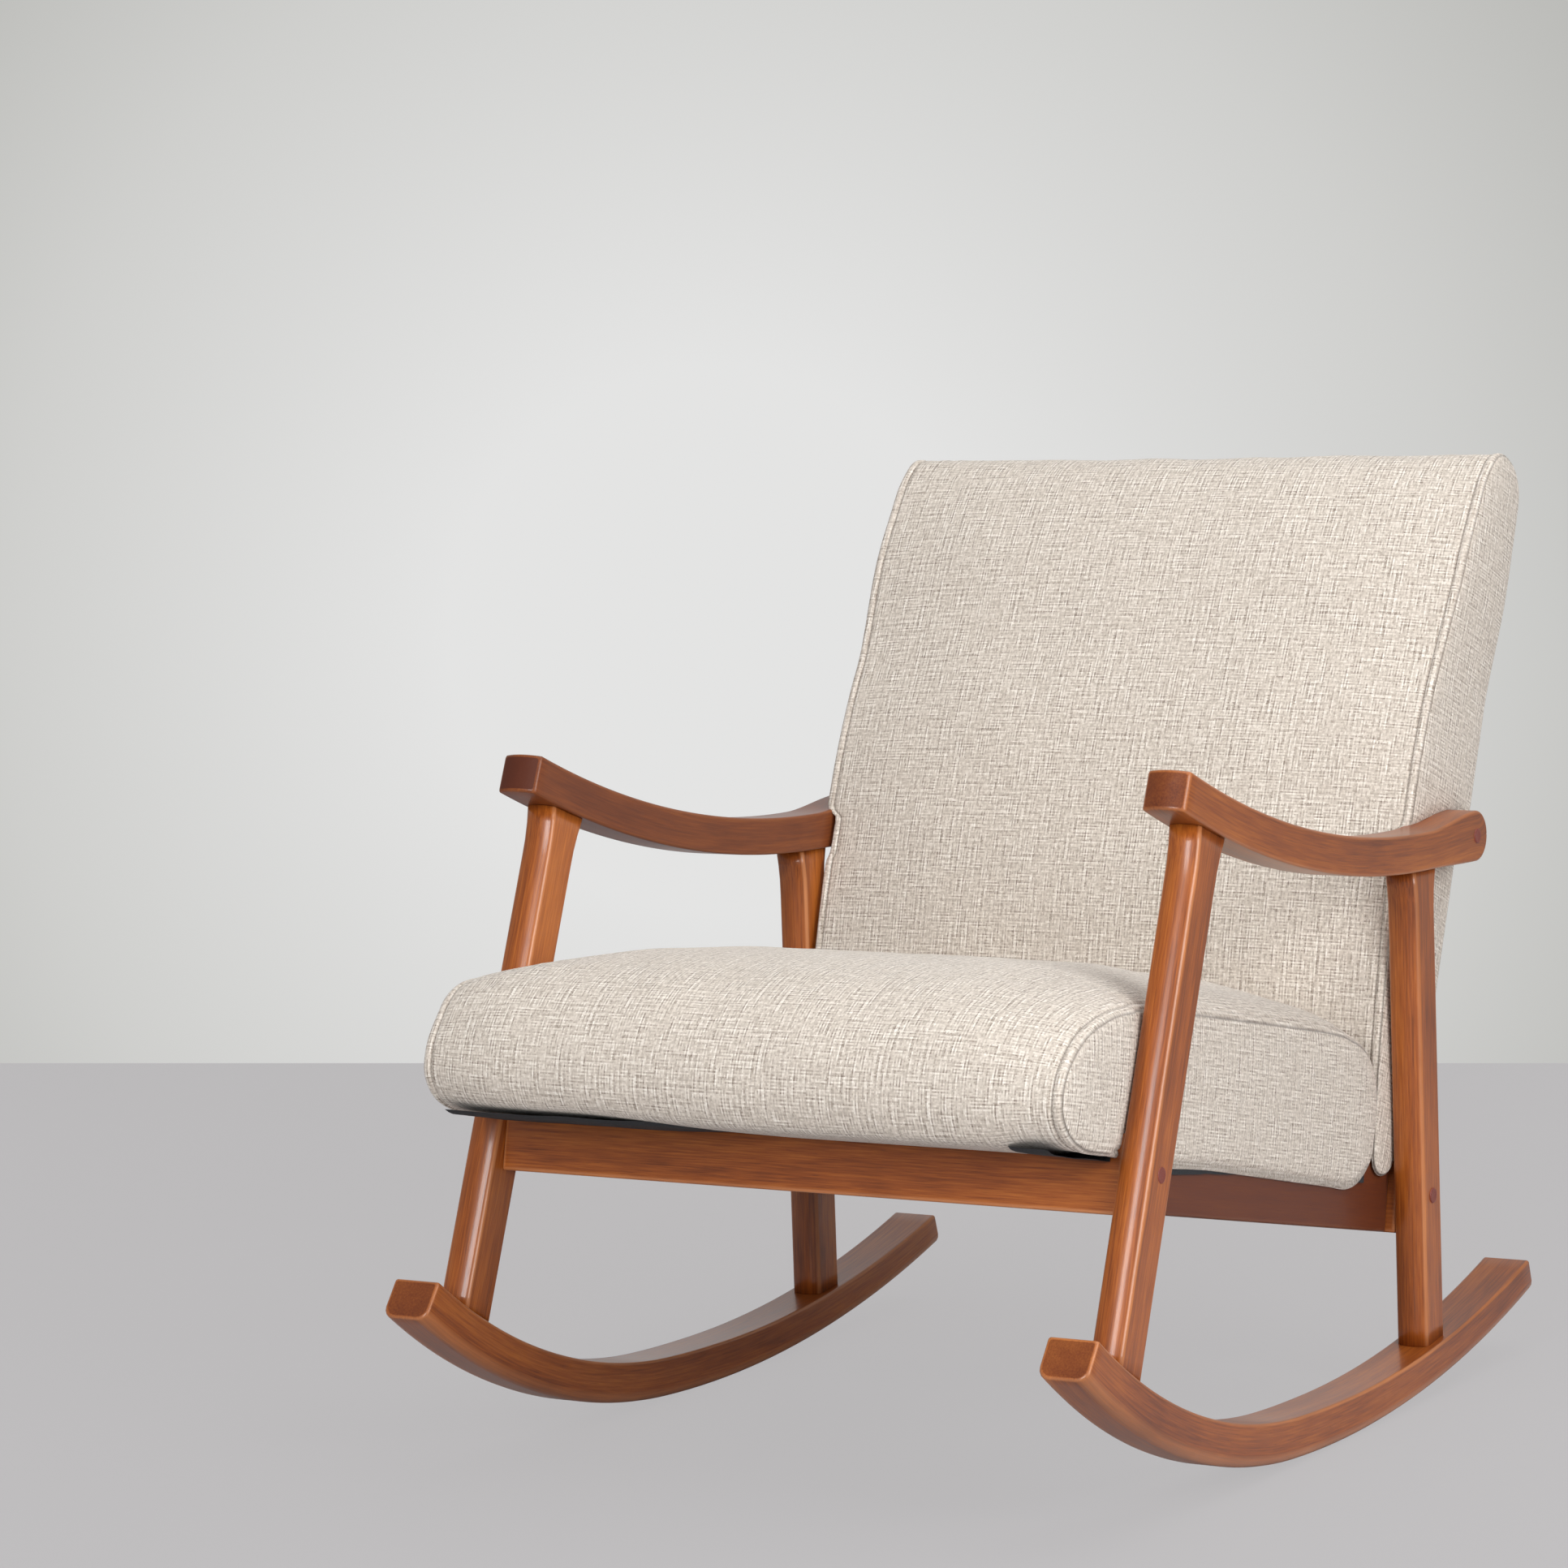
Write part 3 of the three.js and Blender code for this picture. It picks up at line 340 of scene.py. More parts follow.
def finish_shader(tree, shader, colour, rough_by, rough, height, bump, **numbers):
    """Link a colour, a roughness between two values, and a bump of a strength and a distance."""
    tree.links.new(colour, shader.inputs["Base Color"])
    roughness = node(tree, "ShaderNodeMapRange", in_Value=rough_by, in_To_Min=rough[0], in_To_Max=rough[1])
    tree.links.new(roughness.outputs[0], shader.inputs["Roughness"])
    relief = node(tree, "ShaderNodeBump", in_Height=height, in_Strength=bump[0], in_Distance=bump[1])
    tree.links.new(relief.outputs[0], shader.inputs["Normal"])
    for label, number in numbers.items():
        shader.inputs[label.replace("_", " ")].default_value = number


# Grain of a plain-sawn board: broad figure, fine fibres and short dark pores along its length.
grain_tree, grain_in, grain_out = new_group(
    "board_grain",
    [("Grain", "NodeSocketVector", None)],
    [("Figure", "NodeSocketFloat"), ("Fibres", "NodeSocketFloat"), ("Pores", "NodeSocketFloat"),
     ("Cloud", "NodeSocketFloat")],
)
in_board = grain_in.outputs[0]
wander = streaks(grain_tree, in_board, (1.6, 9, 9))
drift = node(grain_tree, "ShaderNodeCombineXYZ", in_X=0.0, in_Y=maths(grain_tree, "MULTIPLY", wander, 3.0),
             in_Z=maths(grain_tree, "MULTIPLY", wander, 2.0)).outputs[0]
stretched = node(grain_tree, "ShaderNodeVectorMath", operation="MULTIPLY", in_0=in_board,
                 in_1=(0.9, 30.0, 30.0)).outputs[0]
drifted = node(grain_tree, "ShaderNodeVectorMath", operation="ADD", in_0=stretched, in_1=drift).outputs[0]
pores = node(grain_tree, "ShaderNodeMapRange", in_From_Min=0.66, in_From_Max=0.76,
             in_Value=streaks(grain_tree, in_board, (55, 1500, 1500), 1.0)).outputs[0]
for label, value in (("Figure", streaks(grain_tree, drifted, (1, 1, 1), 4.0, 0.55)),
                     ("Fibres", streaks(grain_tree, in_board, (22, 620, 620), 3.0, 0.6)), ("Pores", pores),
                     ("Cloud", streaks(grain_tree, in_board, (6, 14, 14), 3.0))):
    grain_tree.links.new(value, grain_out.inputs[label])


def stained_wood():
    """Red-brown stain under a satin lacquer, rubbed on the edges, and darker and duller on some pieces: partly
    their own tone, partly painted shade on the left armrest and the side rails.
    """
    made, tree, shader = new_material("stained_wood")
    where = node(tree, "ShaderNodeAttribute", attribute_name="grain").outputs["Vector"]
    grain = node(tree, "ShaderNodeGroup", node_tree=grain_tree, in_Grain=where)
    board = node(tree, "ShaderNodeAttribute", attribute_name="board").outputs["Fac"]
    worn = node(tree, "ShaderNodeAttribute", attribute_name="worn").outputs["Fac"]
    tone = maths(tree, "ADD", maths(tree, "MULTIPLY", grain.outputs["Figure"], 0.40),
                 maths(tree, "MULTIPLY", grain.outputs["Fibres"], 0.38))
    tone = maths(tree, "ADD", tone, maths(tree, "MULTIPLY", grain.outputs["Cloud"], 0.22))
    stain = ramp(tree, tone, (0.38, (0.160, 0.035, 0.0055)), (0.50, (0.325, 0.080, 0.0105)),
                 (0.62, (0.490, 0.145, 0.021)))
    # Painted shade and tone: pieces with a high value are mixed towards this dark brown.
    stain = mixed(tree, board, stain, (0.092, 0.026, 0.015))
    stain = mixed(tree, maths(tree, "MULTIPLY", grain.outputs["Pores"], 0.40), stain, (0.075, 0.016, 0.005))
    # Those pieces also lose rub and gloss, so the painted shade dims their edges and reflections too.
    spared = node(tree, "ShaderNodeMapRange", in_Value=board, in_From_Max=0.6, in_To_Min=0.9,
                  in_To_Max=0.1).outputs[0]
    rub = maths(tree, "MULTIPLY", worn, maths(tree, "MULTIPLY", grain.outputs["Cloud"], spared))
    gloss = node(tree, "ShaderNodeMapRange", in_Value=board, in_To_Min=0.4, in_To_Max=0.1).outputs[0]
    tree.links.new(gloss, shader.inputs["Specular IOR Level"])
    tree.links.new(gloss, shader.inputs["Coat Weight"])
    height = maths(tree, "SUBTRACT", maths(tree, "MULTIPLY", grain.outputs["Fibres"], 0.4),
                   grain.outputs["Pores"])
    finish_shader(tree, shader, mixed(tree, rub, stain, (0.62, 0.26, 0.105)), grain.outputs["Fibres"],
                  (0.32, 0.44), height, (0.25, 0.00012), Coat_Roughness=0.15)
    return made


STAINED = stained_wood()


angles = [blend(ROCKER_FRONT, CURVES_MEET, i / 34) for i in range(34)]
angles += [blend(CURVES_MEET, ROCKER_REAR, i / 24) for i in range(25)]
rocker_top = [rocker_point(angle, rocker_depth(angle)) for angle in angles]
rocker_under = [rocker_point(angle, 0.0) for angle in angles]
for label, sign in SIDES:
    name = f"bent_rocker_{label}"
    mesh = timber(name, sign * ROCKER_X, rocker_top, rocker_under, ROCKER_HALF, under_ease=0.010,
                  board=0.2)
    new_piece(name, mesh, STAINED, "stained_wood", f"rocker_{label}")

# ---------------------------------------------------------------- the armrests
# Each armrest is sawn to a long hollow curve with a crowned front end, dips to its lowest point over
# the rear leg, and ends in a round boss that its bolt passes through.
ARM_HALF = 0.020
ARM_CURVE = 1.230
ARM_DEPTH = 0.0345
ARM_LOW = np.array((0.215, 0.5125))
ARM_FRONT = math.radians(-22.3)
ARM_END = np.array((0.3155, 0.499))
ARM_END_RADIUS = 0.023
# How much darker and duller each armrest is drawn; the left one's extra darkness is painted shade on its inner
# side.
ARM_TONE_AND_SHADE = {"left": 0.6, "right": 0.27}
arm_centre = ARM_LOW + np.array((0.0, ARM_CURVE))


def under_arm(y):
    """Height of the armrest's underside."""
    if y < ARM_LOW[0]:
        return arm_centre[1] - math.sqrt((ARM_CURVE + ARM_DEPTH) ** 2 - (y - arm_centre[0]) ** 2)
    share = eased((y - ARM_LOW[0]) / (ARM_END[0] - ARM_LOW[0]))
    return blend(ARM_LOW[1] - ARM_DEPTH, ARM_END[1] - ARM_END_RADIUS, share)


def armrest(label, sign):
    top, under = [], []
    for i in range(36):
        angle = ARM_FRONT * (1 - i / 36)
        top.append(on_arc(arm_centre, ARM_CURVE, angle))
        under.append(on_arc(arm_centre, ARM_CURVE + ARM_DEPTH, angle))
    for i in range(12):
        y = blend(ARM_LOW[0], ARM_END[0], i / 12)
        top.append(np.array((y, blend(ARM_LOW[1], ARM_END[1] + ARM_END_RADIUS, eased(i / 12)))))
        under.append(np.array((y, under_arm(y))))
    for i in range(19):
        turn = math.radians(88) * i / 18
        reach = ARM_END_RADIUS * np.array((math.sin(turn), math.cos(turn)))
        top.append(ARM_END + reach)
        under.append(ARM_END + reach * np.array((1, -1)))
    name = f"shaped_armrest_{label}"
    mesh = timber(name, sign * ROCKER_X, top, under, ARM_HALF, front_cap=0.005, board=ARM_TONE_AND_SHADE[label])
    new_piece(name, mesh, STAINED, "stained_wood", f"armrest_{label}")


for label, sign in SIDES:
    armrest(label, sign)

# ---------------------------------------------------------------- the legs
# Two legs on each side stand on the rocker and carry the armrest on dowels. The front face is
# crowned, the head flares into the armrest, and both ends are scribed to the curves they meet.
LEG_HALF = 0.015
LEG_FLARE, FLARE_LENGTH = 0.005, 0.040
JOINT_GAP = 0.0003


def over_rocker(y):
    """Height of the rocker's top."""
    front_top = FRONT_CURVE - ROCKER_DEEP
    if y < front_centre[0] + front_top * math.sin(CURVES_MEET):
        return front_centre[1] - math.sqrt(front_top ** 2 - (y - front_centre[0]) ** 2)
    angle = math.asin(y / (REAR_CURVE - (ROCKER_DEEP + ROCKER_SLIM) / 2))
    return REAR_CURVE - math.sqrt((REAR_CURVE - rocker_depth(angle)) ** 2 - y * y)


def leg(label, place, sign, foot_angle, head_angle, depth):
    foot = rocker_point(math.radians(foot_angle), rocker_depth(math.radians(foot_angle)))
    head = on_arc(arm_centre, ARM_CURVE + ARM_DEPTH, math.radians(head_angle))
    length = np.linalg.norm(head - foot)
    way = (head - foot) / length
    back = np.array((way[1], -way[0]))
    front_line, rear_line = [], []
    for i in range(31):
        distance = length * i / 30
        flare = LEG_FLARE * max(0.0, (distance - length + FLARE_LENGTH) / FLARE_LENGTH) ** 2
        front_line.append(foot + way * distance - back * (depth / 2 + flare))
        rear_line.append(foot + way * distance + back * (depth / 2 + flare))

    def scribe(rings):
        for ring, surface, gap in ((rings[0], over_rocker, JOINT_GAP), (rings[-1], under_arm, -JOINT_GAP)):
            for i, (x, p, g, w) in enumerate(ring):
                slide = 0.0
                for _ in range(12):
                    reached = p + way * slide
                    slide += (surface(reached[0]) + gap - reached[1]) / way[1]
                ring[i] = (x, p + way * slide, (g[0] + slide, g[1], g[2]), w)
        return rings

    name = f"turned_leg_{place}_{label}"
    mesh = timber(name, sign * ROCKER_X, front_line, rear_line, LEG_HALF, crown=0.0045, fit=scribe)
    new_piece(name, mesh, STAINED, "stained_wood", f"{place}_leg_{label}")
    return foot, way


for label, sign in SIDES:
    front_foot, front_way = leg(label, "front", sign, -29.7, -19.4, 0.037)
    rear_foot, rear_way = leg(label, "rear", sign, 9.1, -0.1, 0.035)

# ---------------------------------------------------------------- bolt caps
# A red-brown plastic cap closes each bolt's recess. It is a shallow moulded disc with an eased rim
# and a faint dish, and it is pressed in a little proud of the wood.
CAP_PROFILE = [(0.0, -0.0002), (0.0035, -0.00012), (0.0052, 0.0), (0.0060, 0.00002), (0.0066, -0.0002),
               (0.0069, -0.0006), (0.0070, -0.0012), (0.0070, -0.0034), (0.0, -0.0034)]
CAP_SIDES = 40


def speckled(name, scale, detail, dark, pale, rough, bump, **numbers):
    """A material with fine even mottling: its colours, roughness and bump all follow one noise."""
    made, tree, shader = new_material(name)
    mottle = streaks(tree, object_coordinates(tree), (scale, scale, scale), detail)
    finish_shader(tree, shader, ramp(tree, mottle, dark, pale), mottle, rough, mottle, bump, **numbers)
    return made


def bolt_cap(name, node_name, sign, x_face, centre, proud):
    """A turned disc with its face along X, around a bolt."""
    points = []
    for radius, height in CAP_PROFILE:
        for i in range(CAP_SIDES):
            turn = 2 * math.pi * i / CAP_SIDES
            points.append(Vector((sign * (x_face + proud + height), centre[1] + radius * math.cos(turn),
                                  centre[2] + radius * math.sin(turn))))
    mesh = bpy.data.meshes.new(name)
    mesh.from_pydata(points, [], tube(len(CAP_PROFILE), CAP_SIDES))
    outward(mesh, weld=1e-6)
    new_piece(name, mesh, CAP, "cap_plastic", node_name)


CAP = speckled("cap_plastic", 900, 2.0, (0.3, (0.15, 0.028, 0.018)), (0.7, (0.23, 0.047, 0.030)),
               (0.30, 0.48), (0.2, 0.00008))
bolts = {"front": stand(0, *(front_foot + front_way * 0.167)), "rear": stand(0, *(rear_foot + rear_way * 0.1325)),
         "arm": stand(0, *ARM_END)}
for label, sign in SIDES:
    for place, node_name, half, proud in (("front", "front_leg_cap", LEG_HALF, 0.0006),
                                          ("rear", "rear_leg_cap", LEG_HALF, 0.0012),
                                          ("arm", "arm_cap", ARM_HALF, 0.0009)):
        bolt_cap(f"moulded_cap_{place}_{label}", f"{node_name}_{label}", sign, ROCKER_X + half, bolts[place], proud)

# ---------------------------------------------------------------- the seat rails
# Four stained rails make the frame under the seat. The side rails stand in between the front and
# rear ones, which the leg bolts hold. All their edges are eased by hand.
SEAT_ORIGIN = np.array((-0.32540, 0.25168))
SEAT_TILT = math.radians(10.875)
REAR_RAIL = 0.53575
RAIL_HEIGHT = 0.064
RAIL_THICKNESS = 0.022
SIDE_RAIL_INSET = 0.009
RAIL_EASE = 0.002


def seat_side(v, w):
    """Side-view point of a depth and height in the seat frame."""
    return np.array((SEAT_ORIGIN[0] + v * math.cos(SEAT_TILT) + w * math.sin(SEAT_TILT),
                     SEAT_ORIGIN[1] - v * math.sin(SEAT_TILT) + w * math.cos(SEAT_TILT)))


def rail(name, node_name, low, high, lengthwise, seed, board):
    """A board between two corners of the seat frame, with its edges eased and a darkening of its own, which on the
    side rails is painted shade under the seat.
    """
    work = bmesh.new()
    bmesh.ops.create_cube(work, size=1.0)
    low, high = Vector(low), Vector(high)
    for vert in work.verts:
        vert.co = Vector([low[k] if vert.co[k] < 0 else high[k] for k in range(3)])
    long_edges = [e for e in work.edges if abs((e.verts[0].co - e.verts[1].co)[lengthwise]) > 0.1]
    bmesh.ops.subdivide_edges(work, edges=long_edges, cuts=11, use_grid_fill=True)
    sharp = [e for e in work.edges if e.calc_face_angle(0) > 1.0]
    bmesh.ops.bevel(work, geom=sharp, offset=RAIL_EASE, segments=3, profile=0.5, affect="EDGES")
    work.normal_update()
    broad = [face for face in work.faces if min(e.calc_length() for e in face.edges) > 0.01]
    bmesh.ops.inset_region(work, faces=broad, thickness=0.0018, use_even_offset=True)
    mesh = bpy.data.meshes.new(name)
    work.normal_update()
    for face in work.faces:
        slim = face.calc_area() < 0.0035 * face.calc_perimeter() / 2
        face.smooth = slim and min(e.calc_length() for e in face.edges) < 0.003
    work.to_mesh(mesh)
    work.free()
    grain, worn = [], []
    for vert in mesh.vertices:
        c = vert.co.copy()
        others = [c[k] for k in range(3) if k != lengthwise]
        grain.append((c[lengthwise] + seed, others[0] + 0.07 * seed, others[1] + 0.2))
        near_sides = sum(min(abs(c[k] - low[k]), abs(c[k] - high[k])) < RAIL_EASE * 1.1 for k in range(3))
        worn.append(1.0 if near_sides > 1 else 0.0)
        vert.co = stand(c.x, *seat_side(c.y, c.z))
    mesh.update()
    put_attributes(mesh, grain=grain, worn=worn, board=[board] * len(worn))
    return new_piece(name, mesh, STAINED, "stained_wood", node_name)


legs_inside = ROCKER_X - LEG_HALF
rail("eased_front_rail", "front_rail", (-legs_inside, 0, -0.003),
     (legs_inside, RAIL_THICKNESS, RAIL_HEIGHT), 0, 2.3, 0)
rail("eased_rear_rail", "rear_rail", (-legs_inside, REAR_RAIL, 0),
     (legs_inside, REAR_RAIL + RAIL_THICKNESS, RAIL_HEIGHT), 0, 3.7, 0.35)
# The side rails are drawn much darker and duller: painted shade under the seat's overhang.
for label, sign in SIDES:
    outer = sign * (legs_inside - SIDE_RAIL_INSET)
    inner = sign * (legs_inside - SIDE_RAIL_INSET - RAIL_THICKNESS)
    rail(f"eased_side_rail_{label}", f"side_rail_{label}", (min(outer, inner), RAIL_THICKNESS, 0),
         (max(outer, inner), REAR_RAIL, RAIL_HEIGHT), 1, 5.1 + sign, 0.85)

# ---------------------------------------------------------------- hidden joinery
# Beech dowels and corner blocks, the plywood deck, and the boards inside the back are left unfinished,
# and so is the batten that stiffens the deck's front edge, planed to fit inside the cover. The bolts and
# barrel nuts are zinc-plated steel.
def bare_wood(name, pale, dark, ply=0.0):
    """Unfinished wood, with the stripes of its plies where it has them."""
    made, tree, shader = new_material(name)
    where = object_coordinates(tree)
    grain = node(tree, "ShaderNodeGroup", node_tree=grain_tree, in_Grain=where)
    fibres = grain.outputs["Fibres"]
    tone = maths(tree, "ADD", maths(tree, "MULTIPLY", grain.outputs["Figure"], 0.4),
                 maths(tree, "MULTIPLY", fibres, 0.6))
    colour = ramp(tree, tone, (0.25, dark), (0.75, pale))
    if ply:
        turned = node(tree, "ShaderNodeMapping", in_Vector=where, in_Rotation=(SEAT_TILT, 0, 0)).outputs[0]
        layers = streaks(tree, turned, (3, 3, 700), 0.0)
        colour = mixed(tree, maths(tree, "MULTIPLY", layers, ply), colour, dark)
    finish_shader(tree, shader, colour, fibres, (0.55, 0.8), fibres, (0.4, 0.0002))
    return made


def finish_node(name, material):
    """Give a node of the frame its material."""
    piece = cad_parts[name]
    if piece.material_slots:
        for material_slot in piece.material_slots:
            material_slot.material = material
    else:
        piece.data.materials.append(material)


BEECH = bare_wood("bare_beech", (0.62, 0.43, 0.25), (0.42, 0.26, 0.13))
PLYWOOD = bare_wood("bare_plywood", (0.66, 0.48, 0.29), (0.44, 0.29, 0.15), ply=0.6)
ZINC = speckled("zinc_steel", 420, 3.0, (0.3, (0.42, 0.43, 0.45)), (0.7, (0.66, 0.67, 0.68)), (0.25, 0.45),
                (0.15, 0.0001), Metallic=1.0)
for label, sign in SIDES:
    for place in ("front", "rear"):
        for part, material in (("leg_foot_dowel", BEECH), ("leg_head_dowel", BEECH), ("leg_bolt", ZINC),
                               ("leg_nut", ZINC)):
            finish_node(f"{place}_{part}_{label}", material)
        finish_node(f"corner_block_{place}_{label}", BEECH)
    for name in ("arm_bolt", "arm_nut", "back_bolt", "back_nut"):
        finish_node(f"{name}_{label}", ZINC)
    finish_node(f"back_cheek_{label}", PLYWOOD)
for name in ("back_bottom_rail", "back_middle_rail", "back_top_rail"):
    finish_node(name, BEECH)
batten = rail("planed_nose_batten", "nose_batten", (-0.268, -0.0860, 0.0485), (0.268, -0.0565, 0.0637),
              0, 6.1, 0)
batten.data.materials[0] = BEECH
finish_node("seat_deck", PLYWOOD)

# ---------------------------------------------------------------- the seat cushion
# Foam on the plywood deck, under a cover of slubby linen. The cover is one long panel over the top
# and nose, closed at each side by a D-shaped panel with a felled and topstitched seam. Side views are
# in millimetres of depth and height in the seat frame: along a seam, and along the middle's crown.
SEAT_HALF = 0.2982
SEAT_SEAM = [(-79, 46.5), (-104, 55), (-119, 70), (-122.5, 84), (-119.5, 101), (-108.5, 118), (-89, 136),
             (-61, 149.5), (-28, 159), (21, 165), (100, 168), (180, 169), (300, 170), (383, 170), (425, 167),
             (461, 158), (484, 138), (491, 110), (490, 82), (482, 57), (448, 37), (387, 37), (177, 41), (89, 40),
             (-8, 45), (-51, 45)]
SEAT_CROWN = [(-94, 47), (-115, 51), (-128, 65), (-131, 80), (-130, 103), (-121, 128), (-105, 150), (-78, 168),
              (-38, 182), (14, 194), (100, 203), (180, 206.5), (300, 207), (385, 206), (430, 201), (467, 186),
              (487, 156), (491.5, 113), (491, 84), (484, 58), (452, 43), (387, 43), (177, 43), (89, 43),
              (-8, 46), (-56, 46)]
RIM = [(0.0210, 0.0), (0.0165, 0.0001), (0.0128, 0.0003), (0.0100, 0.0004), (0.0084, 0.0001),
       (0.0074, -0.0014), (0.0065, 0.0004), (0.0050, 0.0013), (0.0030, 0.0015), (0.0012, 0.0008),
       (0.0, -0.0014)]
RIM_WIDTH = 0.028
PANEL_LINES = 69
FULL_LIFT = 0.0036
SIDE_CLOTH_AT = 3.1
STITCH_LINE = 5
MOST_STUFFING = 0.0045


def matched_loops(seam, crown, count):
    """The seam and the crown as smooth closed lines whose points correspond."""
    dense = []
    size = len(seam)
    for line in (seam, crown):
        line = np.array(line, dtype=float) / 1000
        fine = []
        for i in range(size):
            a, b, c, d = line[i - 1], line[i], line[(i + 1) % size], line[(i + 2) % size]
            for k in range(24):
                t = k / 24
                fine.append(0.5 * (2 * b + (c - a) * t + (2 * a - 5 * b + 4 * c - d) * t ** 2
                                   + (3 * b - a - 3 * c + d) * t ** 3))
        dense.append(np.array(fine + fine[:1]))
    average = (dense[0] + dense[1]) / 2
    run = np.concatenate([[0.0], np.cumsum(np.linalg.norm(np.diff(average, axis=0), axis=1))])
    stops = np.linspace(0, run[-1], count, endpoint=False)
    loops = []
    for line in dense:
        loops.append(np.stack([np.interp(stops, run, line[:, k]) for k in (0, 1)], axis=1))
    return loops


def loop_normals(loop):
    """Outward unit normals of a closed side-view line."""
    tangents = np.roll(loop, -1, axis=0) - np.roll(loop, 1, axis=0)
    normals = np.stack([tangents[:, 1], -tangents[:, 0]], axis=1)
    normals /= np.linalg.norm(normals, axis=1)[:, None]
    area = np.sum(loop[:, 0] * np.roll(loop[:, 1], -1) - loop[:, 1] * np.roll(loop[:, 0], -1))
    return normals if area > 0 else -normals


def closing_strip(ring, run):
    """Triangles that close a slim ring of points, given how far along its length each one lies."""
    count, low, high = len(ring), int(np.argmin(run)), int(np.argmax(run))
    one_way = [(low + k) % count for k in range((high - low) % count + 1)]
    other_way = [(low - k) % count for k in range((low - high) % count + 1)]
    a = b = 0
    triangles = []
    while a < len(one_way) - 1 or b < len(other_way) - 1:
        spent = a == len(one_way) - 1
        if not spent and (b == len(other_way) - 1 or run[one_way[a + 1]] <= run[other_way[b + 1]]):
            triangle = (one_way[a], one_way[a + 1], other_way[b])
            a += 1
        else:
            triangle = (one_way[a], other_way[b + 1], other_way[b])
            b += 1
        if len(set(triangle)) == 3:
            triangles.append(tuple(ring[k] for k in triangle))
    return triangles


def upholstery(name, seam, crown, count, half, spine, puff, hem, to_side, shape, fullness=4):
    """A stuffed cover: a long panel lofted across the chair between two seams, and its side panels."""
    seam, crown = matched_loops(seam, crown, count)
    seam_out = loop_normals(seam)
    right_rim = [(half - inset, out) for inset, out in RIM]
    lines = [(-x, out) for x, out in right_rim[::-1]]
    lines += [(x, 0.0) for x in np.linspace(RIM_WIDTH - half, half - RIM_WIDTH, PANEL_LINES)] + right_rim
    low_end, span = np.array(spine[0]), np.array(spine[1]) - np.array(spine[0])
    share = np.clip((seam - low_end) @ span / (span @ span), 0, 1)
    inward = low_end + share[:, None] * span - seam
    reach = np.linalg.norm(inward, axis=1)[:, None]
    sides = []
    for inset, lift in ((0.0011 + hem * 0.0042, 0.0002), (0.0026 + hem * 0.0040, 0.0009),
                        (0.0050 + hem * 0.0030, 0.0016), (0.0095 + hem * 0.0015, 0.0023),
                        (0.017 + hem * 0, 0.0029), (0.028 + hem * 0, 0.0033)):
        groove = 0.0 if sides else -0.0011 * hem
        sides.append((seam + inward * np.minimum(inset[:, None] / reach, 0.55),
                      half + (groove + lift * puff / FULL_LIFT)))
    sides += [(seam + inward * inset, half + puff) for inset in (0.62, 0.78, 0.90, 0.965)]

    def ring(flat, x):
        return np.column_stack([np.broadcast_to(x, (count,)), flat])

    rings = [ring(flat, -x) for flat, x in sides[::-1]]
    for x, out in lines:
        bow = 1 - (abs(x) / half) ** fullness
        rings.append(ring(seam + (crown - seam) * bow + seam_out * out, x))
    rings += [ring(flat, x) for flat, x in sides]
    points = shape(np.concatenate(rings))
    run = np.concatenate([[0.0], np.cumsum(np.linalg.norm(np.diff(crown, axis=0), axis=1))])
    run = np.append(run, run[-1] + 0.004)
    faces, corners = tube(len(rings), count), []
    for number, quad in enumerate(faces):
        r, i = divmod(number, count)
        beside = r < len(sides) or r + 1 >= len(sides) + len(lines)
        for p, step in zip(quad, (i, i + 1, i + 1, i)):
            x, v, w = points[p]
            corners.append((v + SIDE_CLOTH_AT, w) if beside else (x, run[step]))
    for start in (0, len(points) - count):
        for triangle in closing_strip(range(start, start + count), share):
            faces.append(triangle)
            corners.extend((points[p][1] + SIDE_CLOTH_AT, points[p][2]) for p in triangle)
    mesh = bpy.data.meshes.new(name)
    mesh.from_pydata([stand(x, *to_side(v, w)) for x, v, w in points], [], faces)
    weave = mesh.uv_layers.new(name="weave")
    weave.data.foreach_set("uv", np.array(corners, dtype=np.float32).ravel())
    outward(mesh)
    return mesh, len(sides), len(lines)


def stuffed(mesh, held, free):
    """Press the cover out against its seams as cloth, and keep how far each point moved under a cap."""
    scene = bpy.context.scene
    trial = bpy.data.objects.new("stuffing", mesh.copy())
    scene.collection.objects.link(trial)
    group = trial.vertex_groups.new(name="held")
    for weight in sorted(set(held)):
        group.add([i for i, value in enumerate(held) if value == weight], weight, "REPLACE")
    cloth = trial.modifiers.new("cloth", "CLOTH")
    for setting, value in (("quality", 5), ("mass", 0.3), ("tension_stiffness", 15),
                           ("compression_stiffness", 15), ("shear_stiffness", 8), ("bending_stiffness", 0.6),
                           ("use_pressure", True), ("uniform_pressure_force", 4.0),
                           ("vertex_group_mass", "held")):
        setattr(cloth.settings, setting, value)
    cloth.settings.effector_weights.gravity = 0.0
    cloth.point_cache.frame_start, cloth.point_cache.frame_end = 1, 20
    for number in range(1, 21):
        scene.frame_set(number)
    settled = trial.evaluated_get(bpy.context.evaluated_depsgraph_get()).data
    count = len(mesh.vertices)
    before, after = np.empty(count * 3), np.empty(count * 3)
    mesh.vertices.foreach_get("co", before)
    settled.vertices.foreach_get("co", after)
    scene.frame_set(1)
    spent = trial.data
    bpy.data.objects.remove(trial)
    bpy.data.meshes.remove(spent)
    before = before.reshape(-1, 3)
    move = after.reshape(-1, 3) - before
    size = np.linalg.norm(move, axis=1)
    limit = np.asarray(free) * MOST_STUFFING
    move *= (limit * np.tanh(size / np.maximum(limit, 1e-6)) / np.maximum(size, 1e-9))[:, None]
    mesh.vertices.foreach_set("co", (before + move).ravel())
    mesh.update()


